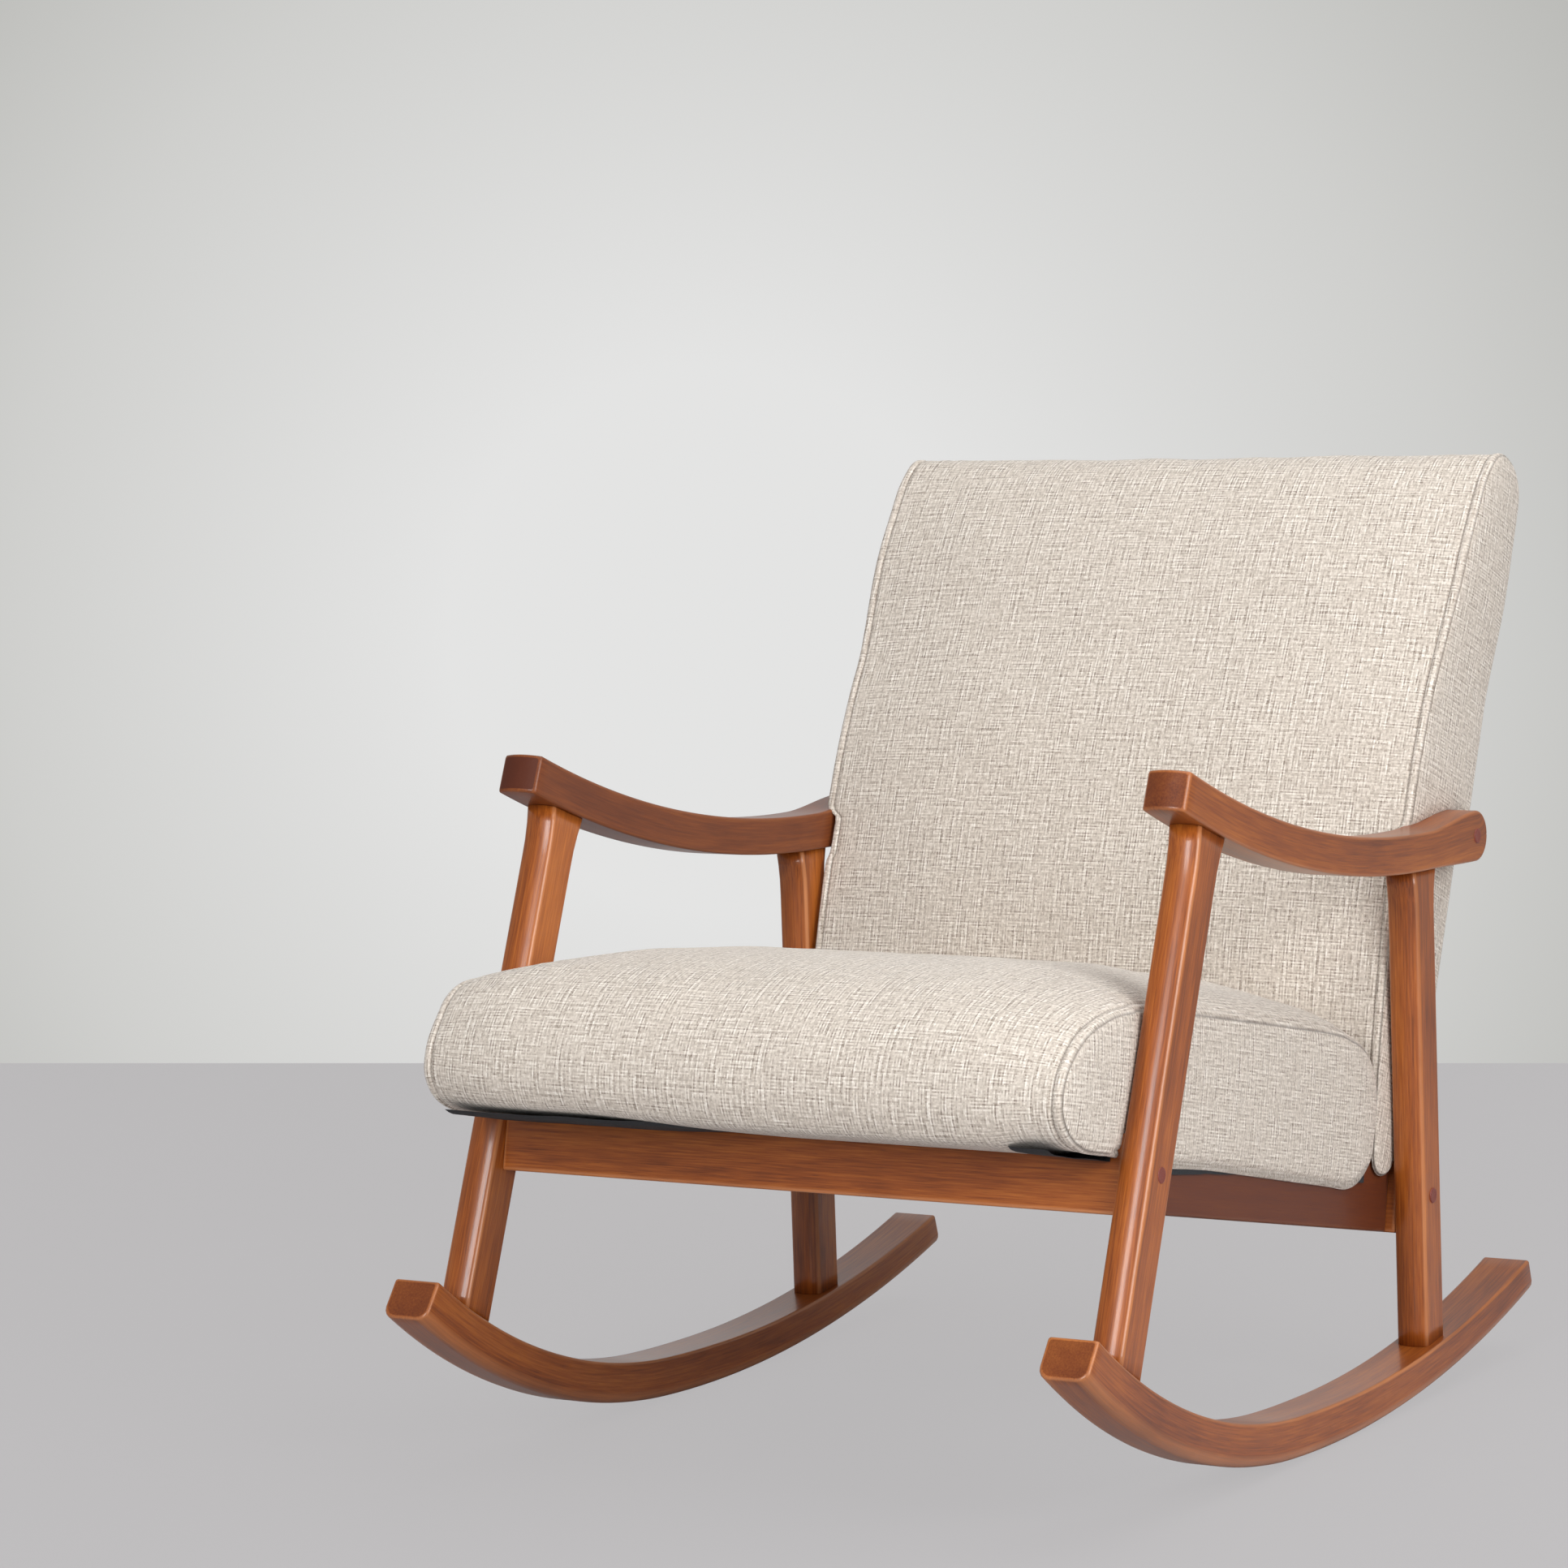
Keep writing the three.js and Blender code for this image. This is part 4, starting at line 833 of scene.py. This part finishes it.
def soft_waves(mesh, near_seam, free):
    """Slight unevenness of the foam, and puckers along the seams."""
    normals = [vert.normal.copy() for vert in mesh.vertices]
    for vert, normal, near, loose in zip(mesh.vertices, normals, near_seam, free):
        broad = noise.noise(vert.co * 14.0) * 0.0016 + noise.noise(vert.co * 37.0) * 0.0005
        pucker = noise.noise(vert.co * 95.0) * 0.0009 * near
        vert.co += normal * (broad * loose + pucker)
    mesh.update()


# Plain weave of slubby yarn: cream and grey-taupe threads both ways, with thick and thin places.
weave_tree, weave_in, weave_out = new_group(
    "slub_weave",
    [("Cloth", "NodeSocketVector", None), ("Threads per metre", "NodeSocketFloat", 720.0)],
    [("Tone", "NodeSocketFloat"), ("Height", "NodeSocketFloat"), ("Cloud", "NodeSocketFloat")],
)
cloth_at, per_metre = weave_in.outputs["Cloth"], weave_in.outputs["Threads per metre"]
split = node(weave_tree, "ShaderNodeSeparateXYZ", in_0=cloth_at)
across, along = split.outputs[0], split.outputs[1]


def times(first, second):
    return maths(weave_tree, "MULTIPLY", first, second)


def yarn(across, along, seed):
    """Tone of each yarn: light and dark ones in pairs, changing along their length, with short slubs."""
    number = maths(weave_tree, "FLOOR", times(across, per_metre))
    pair = maths(weave_tree, "FLOOR", times(number, 0.5))
    tones = []
    for count, changes_per_metre in ((pair, 34.0), (number, 260.0)):
        place = node(weave_tree, "ShaderNodeCombineXYZ", in_X=times(count, 7.31),
                     in_Y=times(along, changes_per_metre), in_Z=seed).outputs[0]
        uneven = node(weave_tree, "ShaderNodeTexNoise", in_Vector=place, in_Scale=1.0, in_Detail=1.0).outputs[0]
        tones.append(node(weave_tree, "ShaderNodeMapRange", in_Value=uneven, in_From_Min=0.30,
                          in_From_Max=0.70).outputs[0])
    second_of_pair = maths(weave_tree, "SUBTRACT", number, times(pair, 2.0))
    swapped = maths(weave_tree, "ABSOLUTE", maths(weave_tree, "SUBTRACT", second_of_pair, tones[0]))
    return maths(weave_tree, "ADD", times(swapped, 0.62), times(tones[1], 0.38))


upright, level = yarn(across, along, 0.3), yarn(along, across, 4.7)
turns = times(per_metre, math.pi)
crossing = times(*(maths(weave_tree, "SINE", times(way, turns)) for way in (across, along)))
over = node(weave_tree, "ShaderNodeMapRange", in_Value=crossing, in_From_Min=-1.6, in_From_Max=2.1).outputs[0]
tone = node(weave_tree, "ShaderNodeMix", data_type="FLOAT", in_0=over, in_2=upright, in_3=level).outputs[0]
height = maths(weave_tree, "ADD", tone, times(maths(weave_tree, "ABSOLUTE", crossing), 0.3))
for label, value in (("Tone", tone), ("Height", height),
                     ("Cloud", streaks(weave_tree, cloth_at, (17, 17, 1), 3.0))):
    weave_tree.links.new(value, weave_out.inputs[label])


def linen():
    """Linen-look polyester: cream and taupe yarn with a dry, faintly fuzzy surface."""
    made, tree, shader = new_material("linen")
    where = node(tree, "ShaderNodeUVMap", uv_map="weave").outputs[0]
    weave = node(tree, "ShaderNodeGroup", node_tree=weave_tree, in_Cloth=where)
    colour = ramp(tree, weave.outputs["Tone"], (0.14, (0.250, 0.200, 0.160)), (0.42, (0.535, 0.468, 0.400)),
                  (0.58, (0.680, 0.610, 0.532)), (0.86, (0.920, 0.868, 0.795)))
    cloud = node(tree, "ShaderNodeMapRange", in_Value=weave.outputs["Cloud"], in_To_Min=0.955,
                 in_To_Max=0.99).outputs[0]
    shaded = node(tree, "ShaderNodeVectorMath", operation="SCALE", in_0=colour, in_Scale=cloud).outputs[0]
    # Painted shade in the seam folds and along the stitch lines: the cloth is darkened towards a deep brown there.
    crease = node(tree, "ShaderNodeAttribute", attribute_name="crease").outputs["Fac"]
    colour = mixed(tree, maths(tree, "MULTIPLY", crease, 0.72), shaded, (0.15, 0.12, 0.10))
    finish_shader(tree, shader, colour, weave.outputs["Tone"], (0.95, 0.80), weave.outputs["Height"],
                  (0.5, 0.0005), Specular_IOR_Level=0.25, Sheen_Weight=0.18, Sheen_Roughness=0.5)
    return made


LINEN = linen()


def finish_cover(name, mesh, first, lines, low_part, *nodes):
    """Stuff a cover, add its puckers and crease shading, and hand it over."""
    held, free, near, crease = [], [], [], []
    for r in range(len(mesh.vertices) // len(low_part)):
        from_seam = min(abs(r - first), abs(r - (first + lines - 1)))
        on_panel = first <= r < first + lines
        edge = on_panel and from_seam < len(RIM)
        for low in low_part:
            held.append(1.0 if edge or low or (not on_panel and from_seam < 4) else 0.02)
            loose = 0.0 if edge or low else 1.0
            if on_panel and not edge:
                loose *= min(1.0, (from_seam - len(RIM) + 1) / 9)
            elif not on_panel:
                loose *= 0.12 * min(1.0, from_seam / 6)
            free.append(loose)
            pucker = max(0.0, 1 - abs(from_seam - len(RIM)) / 7) * (0.0 if low else 1.0)
            near.append(pucker if on_panel else 0.15)
            # Painted shade: full in each seam fold and at the stitch line, half on the side panel next to the seam,
            # and weaker on the underside.
            depth = 0.0
            if edge and from_seam in (0, STITCH_LINE):
                depth = 1.0
            elif not on_panel and from_seam == 1:
                depth = 0.5
            crease.append(depth * (0.6 if low else 1.0))
    stuffed(mesh, held, free)
    soft_waves(mesh, near, free)
    put_attributes(mesh, crease=crease)
    piece = new_piece(name, mesh, LINEN, "linen", *nodes)
    return piece


SAG_FROM, SAG_TO = -0.16, 0.268
NOSE_SPREAD = 0.0105
NOSE_SAG = 0.0042
OVER_DECK = 0.0665


def nose_sag(x):
    """How far the cover hangs under the nose: not at the ends, fully right of the middle."""
    return eased((x - SAG_FROM) / 0.17) * eased((SAG_TO - x) / 0.035)


def round_the_frame(points):
    """Spread the nose in front of the legs, and lift the underside over the deck and the rails."""
    x, v, w = points.T
    wide = np.clip(np.abs(x) / SEAT_HALF, 0, 1)
    spread = NOSE_SPREAD * eased((-0.0165 + 0.179 * w - v) / 0.022) * wide ** 5
    left = np.clip(-x / SEAT_HALF, 0, 1) ** 3
    slack = left * np.exp(-((v + 0.08) / 0.036) ** 2) * np.clip((w - 0.09) / 0.04, 0, 1)
    low = np.clip((0.075 - w) / 0.025, 0, 1) * np.clip((-0.002 - v) / 0.006, 0, 1)
    w = w - NOSE_SAG * nose_sag(x) * low
    points = np.stack([x + np.sign(x) * spread, v - 0.006 * slack, w + 0.008 * slack], axis=1)
    inside = (np.abs(x) < 0.2945) & (w < 0.05) & (v > 0.0) & (v < 0.474)
    points[inside, 2] = OVER_DECK
    return points


SEAT_COUNT = 236
seat_seam, _ = matched_loops(SEAT_SEAM, SEAT_CROWN, SEAT_COUNT)
under_seat = loop_normals(seat_seam)[:, 1] < -0.7
seat_hem = np.where(under_seat & (seat_seam[:, 0] > -0.03), 1.0, 0.0)
seat_mesh, seat_first, seat_lines = upholstery(
    "seat_upholstery", SEAT_SEAM, SEAT_CROWN, SEAT_COUNT, SEAT_HALF, ((-0.045, 0.092), (0.425, 0.104)), 0.0034,
    seat_hem, seat_side, round_the_frame, fullness=7)
seat_cover = finish_cover("seat_upholstery", seat_mesh, seat_first, seat_lines, under_seat, "seat_cushion")

# ---------------------------------------------------------------- topstitching
# A line of thick cream thread runs beside each felled seam. Each stitch is a short plump capsule that
# sinks into the cloth at both ends.
THREAD = speckled("thread", 1500, 1.0, (0.3, (0.36, 0.31, 0.26)), (0.7, (0.72, 0.66, 0.57)), (0.55, 0.8),
                  (0.5, 0.0002))


def stitch_tree():
    """Geometry nodes that lay stitches of one length and thickness along a curve."""
    tree = bpy.data.node_groups.new("stitches", "GeometryNodeTree")
    tree.interface.new_socket("Line", in_out="INPUT", socket_type="NodeSocketGeometry")
    for label, value in (("Pitch", 0.0042), ("Stitch length", 0.0031), ("Thickness", 0.00038)):
        socket = tree.interface.new_socket(label, in_out="INPUT", socket_type="NodeSocketFloat")
        socket.default_value = value
    tree.interface.new_socket("Thread", in_out="INPUT", socket_type="NodeSocketMaterial")
    tree.interface.new_socket("Stitches", in_out="OUTPUT", socket_type="NodeSocketGeometry")
    given = tree.nodes.new("NodeGroupInput").outputs
    curve = node(tree, "GeometryNodeMeshToCurve", in_0=given["Line"]).outputs[0]
    spaced = node(tree, "GeometryNodeResampleCurve", mode="LENGTH", in_Curve=curve, in_Length=given["Pitch"])
    capsule = node(tree, "GeometryNodeMeshUVSphere", in_Segments=6, in_Rings=5, in_Radius=1.0)
    tangent = node(tree, "GeometryNodeInputTangent").outputs[0]
    turn = node(tree, "FunctionNodeAlignRotationToVector", axis="Z", in_Vector=tangent)
    size = node(tree, "ShaderNodeCombineXYZ", in_0=given["Thickness"], in_1=given["Thickness"],
                in_2=maths(tree, "MULTIPLY", given["Stitch length"], 0.5))
    laid = node(tree, "GeometryNodeInstanceOnPoints", in_Points=spaced.outputs[0],
                in_Instance=capsule.outputs[0], in_Rotation=turn.outputs[0], in_Scale=size.outputs[0])
    real = node(tree, "GeometryNodeRealizeInstances", in_0=laid.outputs[0])
    node(tree, "NodeGroupOutput", in_0=node(tree, "GeometryNodeSetMaterial", in_Geometry=real.outputs[0],
                                            in_Material=given["Thread"]).outputs[0])
    return tree


STITCHES = stitch_tree()


def topstitch(name, cover, first, lines, shown):
    """Sew a line of stitches beside each seam of a cover, where it shows."""
    points, edges = [], []
    count = len(shown)
    for r in (first + STITCH_LINE, first + lines - 1 - STITCH_LINE):
        chain = [i for i in range(count) if shown[i]]
        start = next((k for k, i in enumerate(chain) if (i - 1) % count not in chain), 0)
        chain = chain[start:] + chain[:start]
        for k, i in enumerate(chain):
            vert = cover.data.vertices[r * count + i]
            points.append(vert.co + vert.normal * 0.00022)
            if k:
                edges.append((len(points) - 2, len(points) - 1))
    line = bpy.data.meshes.new(name + "_line")
    line.from_pydata(points, edges, [])
    sewing = bpy.data.objects.new(name + "_line", line)
    bpy.context.scene.collection.objects.link(sewing)
    laying = sewing.modifiers.new("stitches", "NODES")
    laying.node_group = STITCHES
    names = {item.name: item.identifier for item in STITCHES.interface.items_tree if item.in_out == "INPUT"}
    laying[names["Thread"]] = THREAD
    result = bpy.data.meshes.new_from_object(sewing.evaluated_get(bpy.context.evaluated_depsgraph_get()))
    result.name = name
    bpy.data.objects.remove(sewing)
    bpy.data.meshes.remove(line)
    result.shade_smooth()
    new_piece(name, result, THREAD, "linen")


topstitch("seat_topstitch", seat_cover, seat_first, seat_lines, ~under_seat)

# ---------------------------------------------------------------- the dust cover
# Thin black non-woven cloth is stapled under the deck. It shows below the nose of the cushion and as
# a narrow lip above the side rails.
UNDER_DECK = 0.06415
NOSE_CLOTH = 0.0412


def dust_cover():
    """One sheet: flat under the nose, up in front of the rail, under the deck, with a lip each side."""
    across = [-0.2962, -0.2960, -0.2950] + list(np.linspace(-0.2940, 0.2940, 50)) + [0.2950, 0.2960, 0.2962]
    path = [(v, 0.0) for v in np.linspace(-0.110, -0.0016, 18)]
    path += [(-0.0012, 0.35), (-0.0009, 0.7), (-0.0006, 1.0)]
    path += [(v, 1.0) for v in np.linspace(0.004, 0.478, 60)]
    wide = len(across)
    points = []
    for v, rise in path:
        for k, x in enumerate(across):
            wrinkle = noise.noise(Vector((x * 22, v * 30, 0.4))) * 0.0011 - 0.0006
            sag = float(nose_sag(x)) * (1 - rise)
            curl = 0.0030 * max(0.0, (-0.094 - v) / 0.014) ** 2
            w = NOSE_CLOTH + wrinkle * (1 - rise) + curl + 0.0036 * sag
            if rise > 0:
                w = blend(w, UNDER_DECK, rise)
            if v > 0 and (k < 3 or k > wide - 4):
                drop = (0.0, 0.5, 1.0)[2 - min(k, wide - 1 - k)]
                hang = 0.0305 + 0.0110 * eased(v / 0.30) + 0.0015 * noise.noise(Vector((v * 35, x, 2.0)))
                w = blend(UNDER_DECK, hang, drop if v > 0.012 else 0.0)
            edge_x = x if v > 0.0 else x * 0.985
            points.append(stand(edge_x, *seat_side(v + 0.026 * sag * max(0.0, -v / 0.110), w)))
    faces = []
    for r in range(len(path) - 1):
        for k in range(wide - 1):
            a = r * wide + k
            faces.append((a, a + wide, a + wide + 1, a + 1))
    mesh = bpy.data.meshes.new("black_dust_cover")
    mesh.from_pydata(points, [], faces)
    mesh.shade_smooth()
    cloth = speckled("black_cloth", 700, 4.0, (0.3, (0.009, 0.010, 0.012)), (0.75, (0.034, 0.036, 0.041)),
                     (0.75, 0.95), (0.5, 0.0004))
    piece = new_piece("black_dust_cover", mesh, cloth, "black_cloth", "seat_dust_cover")


dust_cover()

# ---------------------------------------------------------------- the back
# A tall padded panel with its own boxed cover. It stands on the rear rail behind the seat, leans back,
# and is bolted through the ends of the armrests. Its cover is sewn like the seat's, and its side views
# are in millimetres of depth and height in the back's own frame.
RECLINE = math.radians(21.3)
BACK_HALF = 0.2944
BACK_SEAM = [(-40, -296), (-47.5, -262), (-57, -209), (-65, -150), (-72, -82), (-74, -10), (-73.5, 50),
             (-68.5, 105), (-61, 150), (-54, 215), (-49, 258), (-40, 300), (-32.5, 330), (-19, 355), (-6, 364.5),
             (10, 366.5), (27, 362), (40, 350), (46, 332), (47, 280), (47, 200), (47, 100), (47, 0), (47, -100),
             (47, -200), (47, -268), (46.5, -288), (41, -297.5), (20, -299.5), (6, -303), (2, -313), (-8, -320),
             (-22, -322), (-34, -315)]
BACK_CROWN = [(-41, -296), (-52, -262), (-64, -209), (-75, -150), (-84, -82), (-86.5, -10), (-86, 52),
              (-81, 108), (-73.5, 154), (-66.5, 218), (-60, 262), (-49, 303), (-38, 334), (-22, 358),
              (-7, 366.5), (10, 368.5), (28, 364), (42, 352), (48.5, 333), (49.5, 280), (49.5, 200), (49.5, 100),
              (49.5, 0), (49.5, -100), (49.5, -200), (49, -268), (47.5, -288), (41.5, -297.5), (20, -299.5),
              (6, -301), (2, -301), (-8, -302), (-22, -304), (-34, -306)]
ABOVE_ARMS = 0.0115
NEAR_TOP = 0.0060
BELOW_ARMS = 0.0035
ARM_RISE, ARM_RISE_LENGTH = 0.0095, ARM_END[0] - ARM_LOW[0]


def back_side(y, z):
    """Side-view point of a depth and height in the back's own frame."""
    return np.array((ARM_END[0] + y * math.cos(RECLINE) + z * math.sin(RECLINE),
                     ARM_END[1] - y * math.sin(RECLINE) + z * math.cos(RECLINE)))


def between_arms(points):
    """Spread the cover above and below the armrests, and lift its underside over the side rails."""
    x, y, z = points.T
    wide = (np.abs(x) / BACK_HALF) ** 3
    y_beside, z_beside = np.array([back_side(b, c) for b, c in zip(y, z)]).T
    arm_top = ARM_LOW[1] + ARM_RISE * np.clip((y_beside - ARM_LOW[0]) / ARM_RISE_LENGTH, 0, 1)
    under = ARM_LOW[1] - ARM_DEPTH - z_beside
    behind = y_beside - ARM_END[0] - ARM_END_RADIUS
    past_arm = np.clip((np.maximum(under, behind) - 0.0015) / 0.013, 0, 1)
    over_arm = np.clip((z_beside - arm_top + 0.009) / 0.010, 0, 1)
    room = np.where(z_beside > ARM_END[1], ABOVE_ARMS + NEAR_TOP * eased((z - 0.13) / 0.12), BELOW_ARMS)
    spread = wide * eased(np.maximum(past_arm, over_arm)) * room
    points = np.stack([x + np.sign(x) * spread, y, z], axis=1)
    rail_top = -0.3008 + 0.186 * (y - 0.008) - np.where(y > 0.031, 0.0024, 0.0)
    inside = (np.abs(points[:, 0]) < 0.2948) & (z < rail_top)
    points[inside, 2] = rail_top[inside]
    return points


BACK_COUNT = 244
back_seam, _ = matched_loops(BACK_SEAM, BACK_CROWN, BACK_COUNT)
under_back = loop_normals(back_seam)[:, 1] < -0.8
back_mesh, back_first, back_lines = upholstery(
    "back_upholstery", BACK_SEAM, BACK_CROWN, BACK_COUNT, BACK_HALF, ((0.0, -0.250), (0.004, 0.322)), 0.0030,
    np.zeros(BACK_COUNT), back_side, between_arms)
back_cover = finish_cover("back_upholstery", back_mesh, back_first, back_lines, under_back, "back_cushion",
                          "back_rear_panel")
topstitch("back_topstitch", back_cover, back_first, back_lines, ~under_back)

# ---------------------------------------------------------------- the studio
# A plain pale floor meets a plain backdrop, under a broad overhead light, a soft key from the front and
# a fill from the right. The camera stands in front of the chair, to its right.
BACKDROP_AT = Vector((-1.241, 1.6527, 0))
BACKDROP_TURN = math.radians(18.798)
BACKDROP_REACH = 7
FLOOR_REACH = 9
FLOOR_LEVEL = -0.0003
FLOOR_GREY = (0.526, 0.514, 0.520, 1)


def flat_surface(name, corners, material):
    mesh = bpy.data.meshes.new(name)
    mesh.from_pydata(corners, [], [tuple(range(len(corners)))])
    mesh.materials.append(material)
    surface = bpy.data.objects.new(name, mesh)
    bpy.context.scene.collection.objects.link(surface)


def floor_paint():
    """Pale grey that keeps only part of each shadow where the camera sees it."""
    made, tree, shader = new_material("floor_paint")
    for label, value in (("Base Color", FLOOR_GREY), ("Roughness", 0.7), ("Specular IOR Level", 0.1)):
        shader.inputs[label].default_value = value
    seen = node(tree, "ShaderNodeLightPath").outputs["Is Camera Ray"]
    glow = node(tree, "ShaderNodeEmission", in_Color=FLOOR_GREY)
    both = node(tree, "ShaderNodeMixShader", in_0=maths(tree, "MULTIPLY", seen, 0.88), in_1=shader.outputs[0],
                in_2=glow.outputs[0])
    tree.links.new(both.outputs[0], tree.nodes["Material Output"].inputs["Surface"])
    return made


def backdrop_paint_and_light_falloff():
    """Pale grey with a painted pool of light, a little darker away from the middle, and open to a camera that
    stands behind it.
    """
    made, tree, _ = new_material("backdrop_paint_and_light_falloff")
    tree.nodes.clear()
    centred = node(tree, "ShaderNodeMapping", in_Vector=object_coordinates(tree),
                   in_Location=(1.31, -1.625, -0.55)).outputs[0]
    spread = node(tree, "ShaderNodeVectorMath", operation="LENGTH", in_0=centred).outputs["Value"]
    # Painted light falloff: brighter in the middle of the backdrop, darker towards its edges.
    colour = ramp(tree, maths(tree, "MULTIPLY", spread, 0.62), (0.22, (0.775, 0.775, 0.770)),
                  (0.60, (0.625, 0.625, 0.610)), (0.90, (0.470, 0.470, 0.450)))
    path = node(tree, "ShaderNodeLightPath")
    seen = path.outputs["Is Camera Ray"]
    for ray in ("Is Glossy Ray", "Is Transmission Ray"):
        seen = maths(tree, "MAXIMUM", seen, path.outputs[ray])
    glow = node(tree, "ShaderNodeEmission", in_Color=colour)
    matt = node(tree, "ShaderNodeBsdfDiffuse", in_Color=colour)
    front = node(tree, "ShaderNodeMixShader", in_0=seen, in_1=matt.outputs[0], in_2=glow.outputs[0])
    clear = node(tree, "ShaderNodeBsdfTransparent")
    behind = node(tree, "ShaderNodeNewGeometry").outputs["Backfacing"]
    both = node(tree, "ShaderNodeMixShader", in_0=behind, in_1=front.outputs[0], in_2=clear.outputs[0])
    node(tree, "ShaderNodeOutputMaterial", in_Surface=both.outputs[0])
    return made


wall_way = Vector((math.cos(BACKDROP_TURN), math.sin(BACKDROP_TURN), 0))
left_foot, right_foot = BACKDROP_AT - wall_way * BACKDROP_REACH, BACKDROP_AT + wall_way * BACKDROP_REACH
tall = Vector((0, 0, 5))
flat_surface("floor", [(x * FLOOR_REACH, y * FLOOR_REACH, FLOOR_LEVEL)
                       for x, y in ((-1, -1), (1, -1), (1, 1), (-1, 1))], floor_paint())
flat_surface("backdrop", [left_foot, right_foot, right_foot + tall, left_foot + tall], backdrop_paint_and_light_falloff())


def soft_light(name, place, aim, size, power):
    lamp = bpy.data.lights.new(name, "AREA")
    lamp.shape = "RECTANGLE"
    lamp.size, lamp.size_y = size
    lamp.energy = power
    holder = bpy.data.objects.new(name, lamp)
    bpy.context.scene.collection.objects.link(holder)
    holder.location = place
    holder.rotation_euler = (Vector(aim) - Vector(place)).to_track_quat("-Z", "Y").to_euler()


soft_light("overhead", (0.9, 0.1, 3.2), (0, 0, 0.4), (3.0, 3.0), 54)
soft_light("key", (0.35, -4.2, 1.95), (0, 0, 0.5), (1.1, 1.7), 82)
soft_light("fill", (2.8, -1.3, 1.45), (0, 0, 0.5), (1.6, 1.6), 58)

world = bpy.data.worlds.new("studio")
bpy.context.scene.world = world
world.use_nodes = True
sky = world.node_tree.nodes["Background"]
sky.inputs["Color"].default_value = (0.95, 0.96, 1.0, 1)
sky.inputs["Strength"].default_value = 0.30

azimuth, elevation, roll = math.radians(31.54), math.radians(5.73), math.radians(-1.99)
away = Vector((math.sin(azimuth) * math.cos(elevation), -math.cos(azimuth) * math.cos(elevation),
               math.sin(elevation)))
level = Vector((math.cos(azimuth), math.sin(azimuth), 0))
rightward = level * math.cos(roll) + away.cross(level) * math.sin(roll)
pose = Matrix((rightward, away.cross(rightward), away)).transposed().to_4x4()
pose.translation = Vector((2.240, -3.9948, 1.0296))
camera = bpy.data.objects.new("camera", bpy.data.cameras.new("camera"))
bpy.context.scene.collection.objects.link(camera)
camera.matrix_world = pose
camera.data.sensor_width = 36
camera.data.lens = 118.6
camera.data.clip_end = 50
bpy.context.scene.camera = camera
bpy.context.scene.view_settings.view_transform = "Standard"
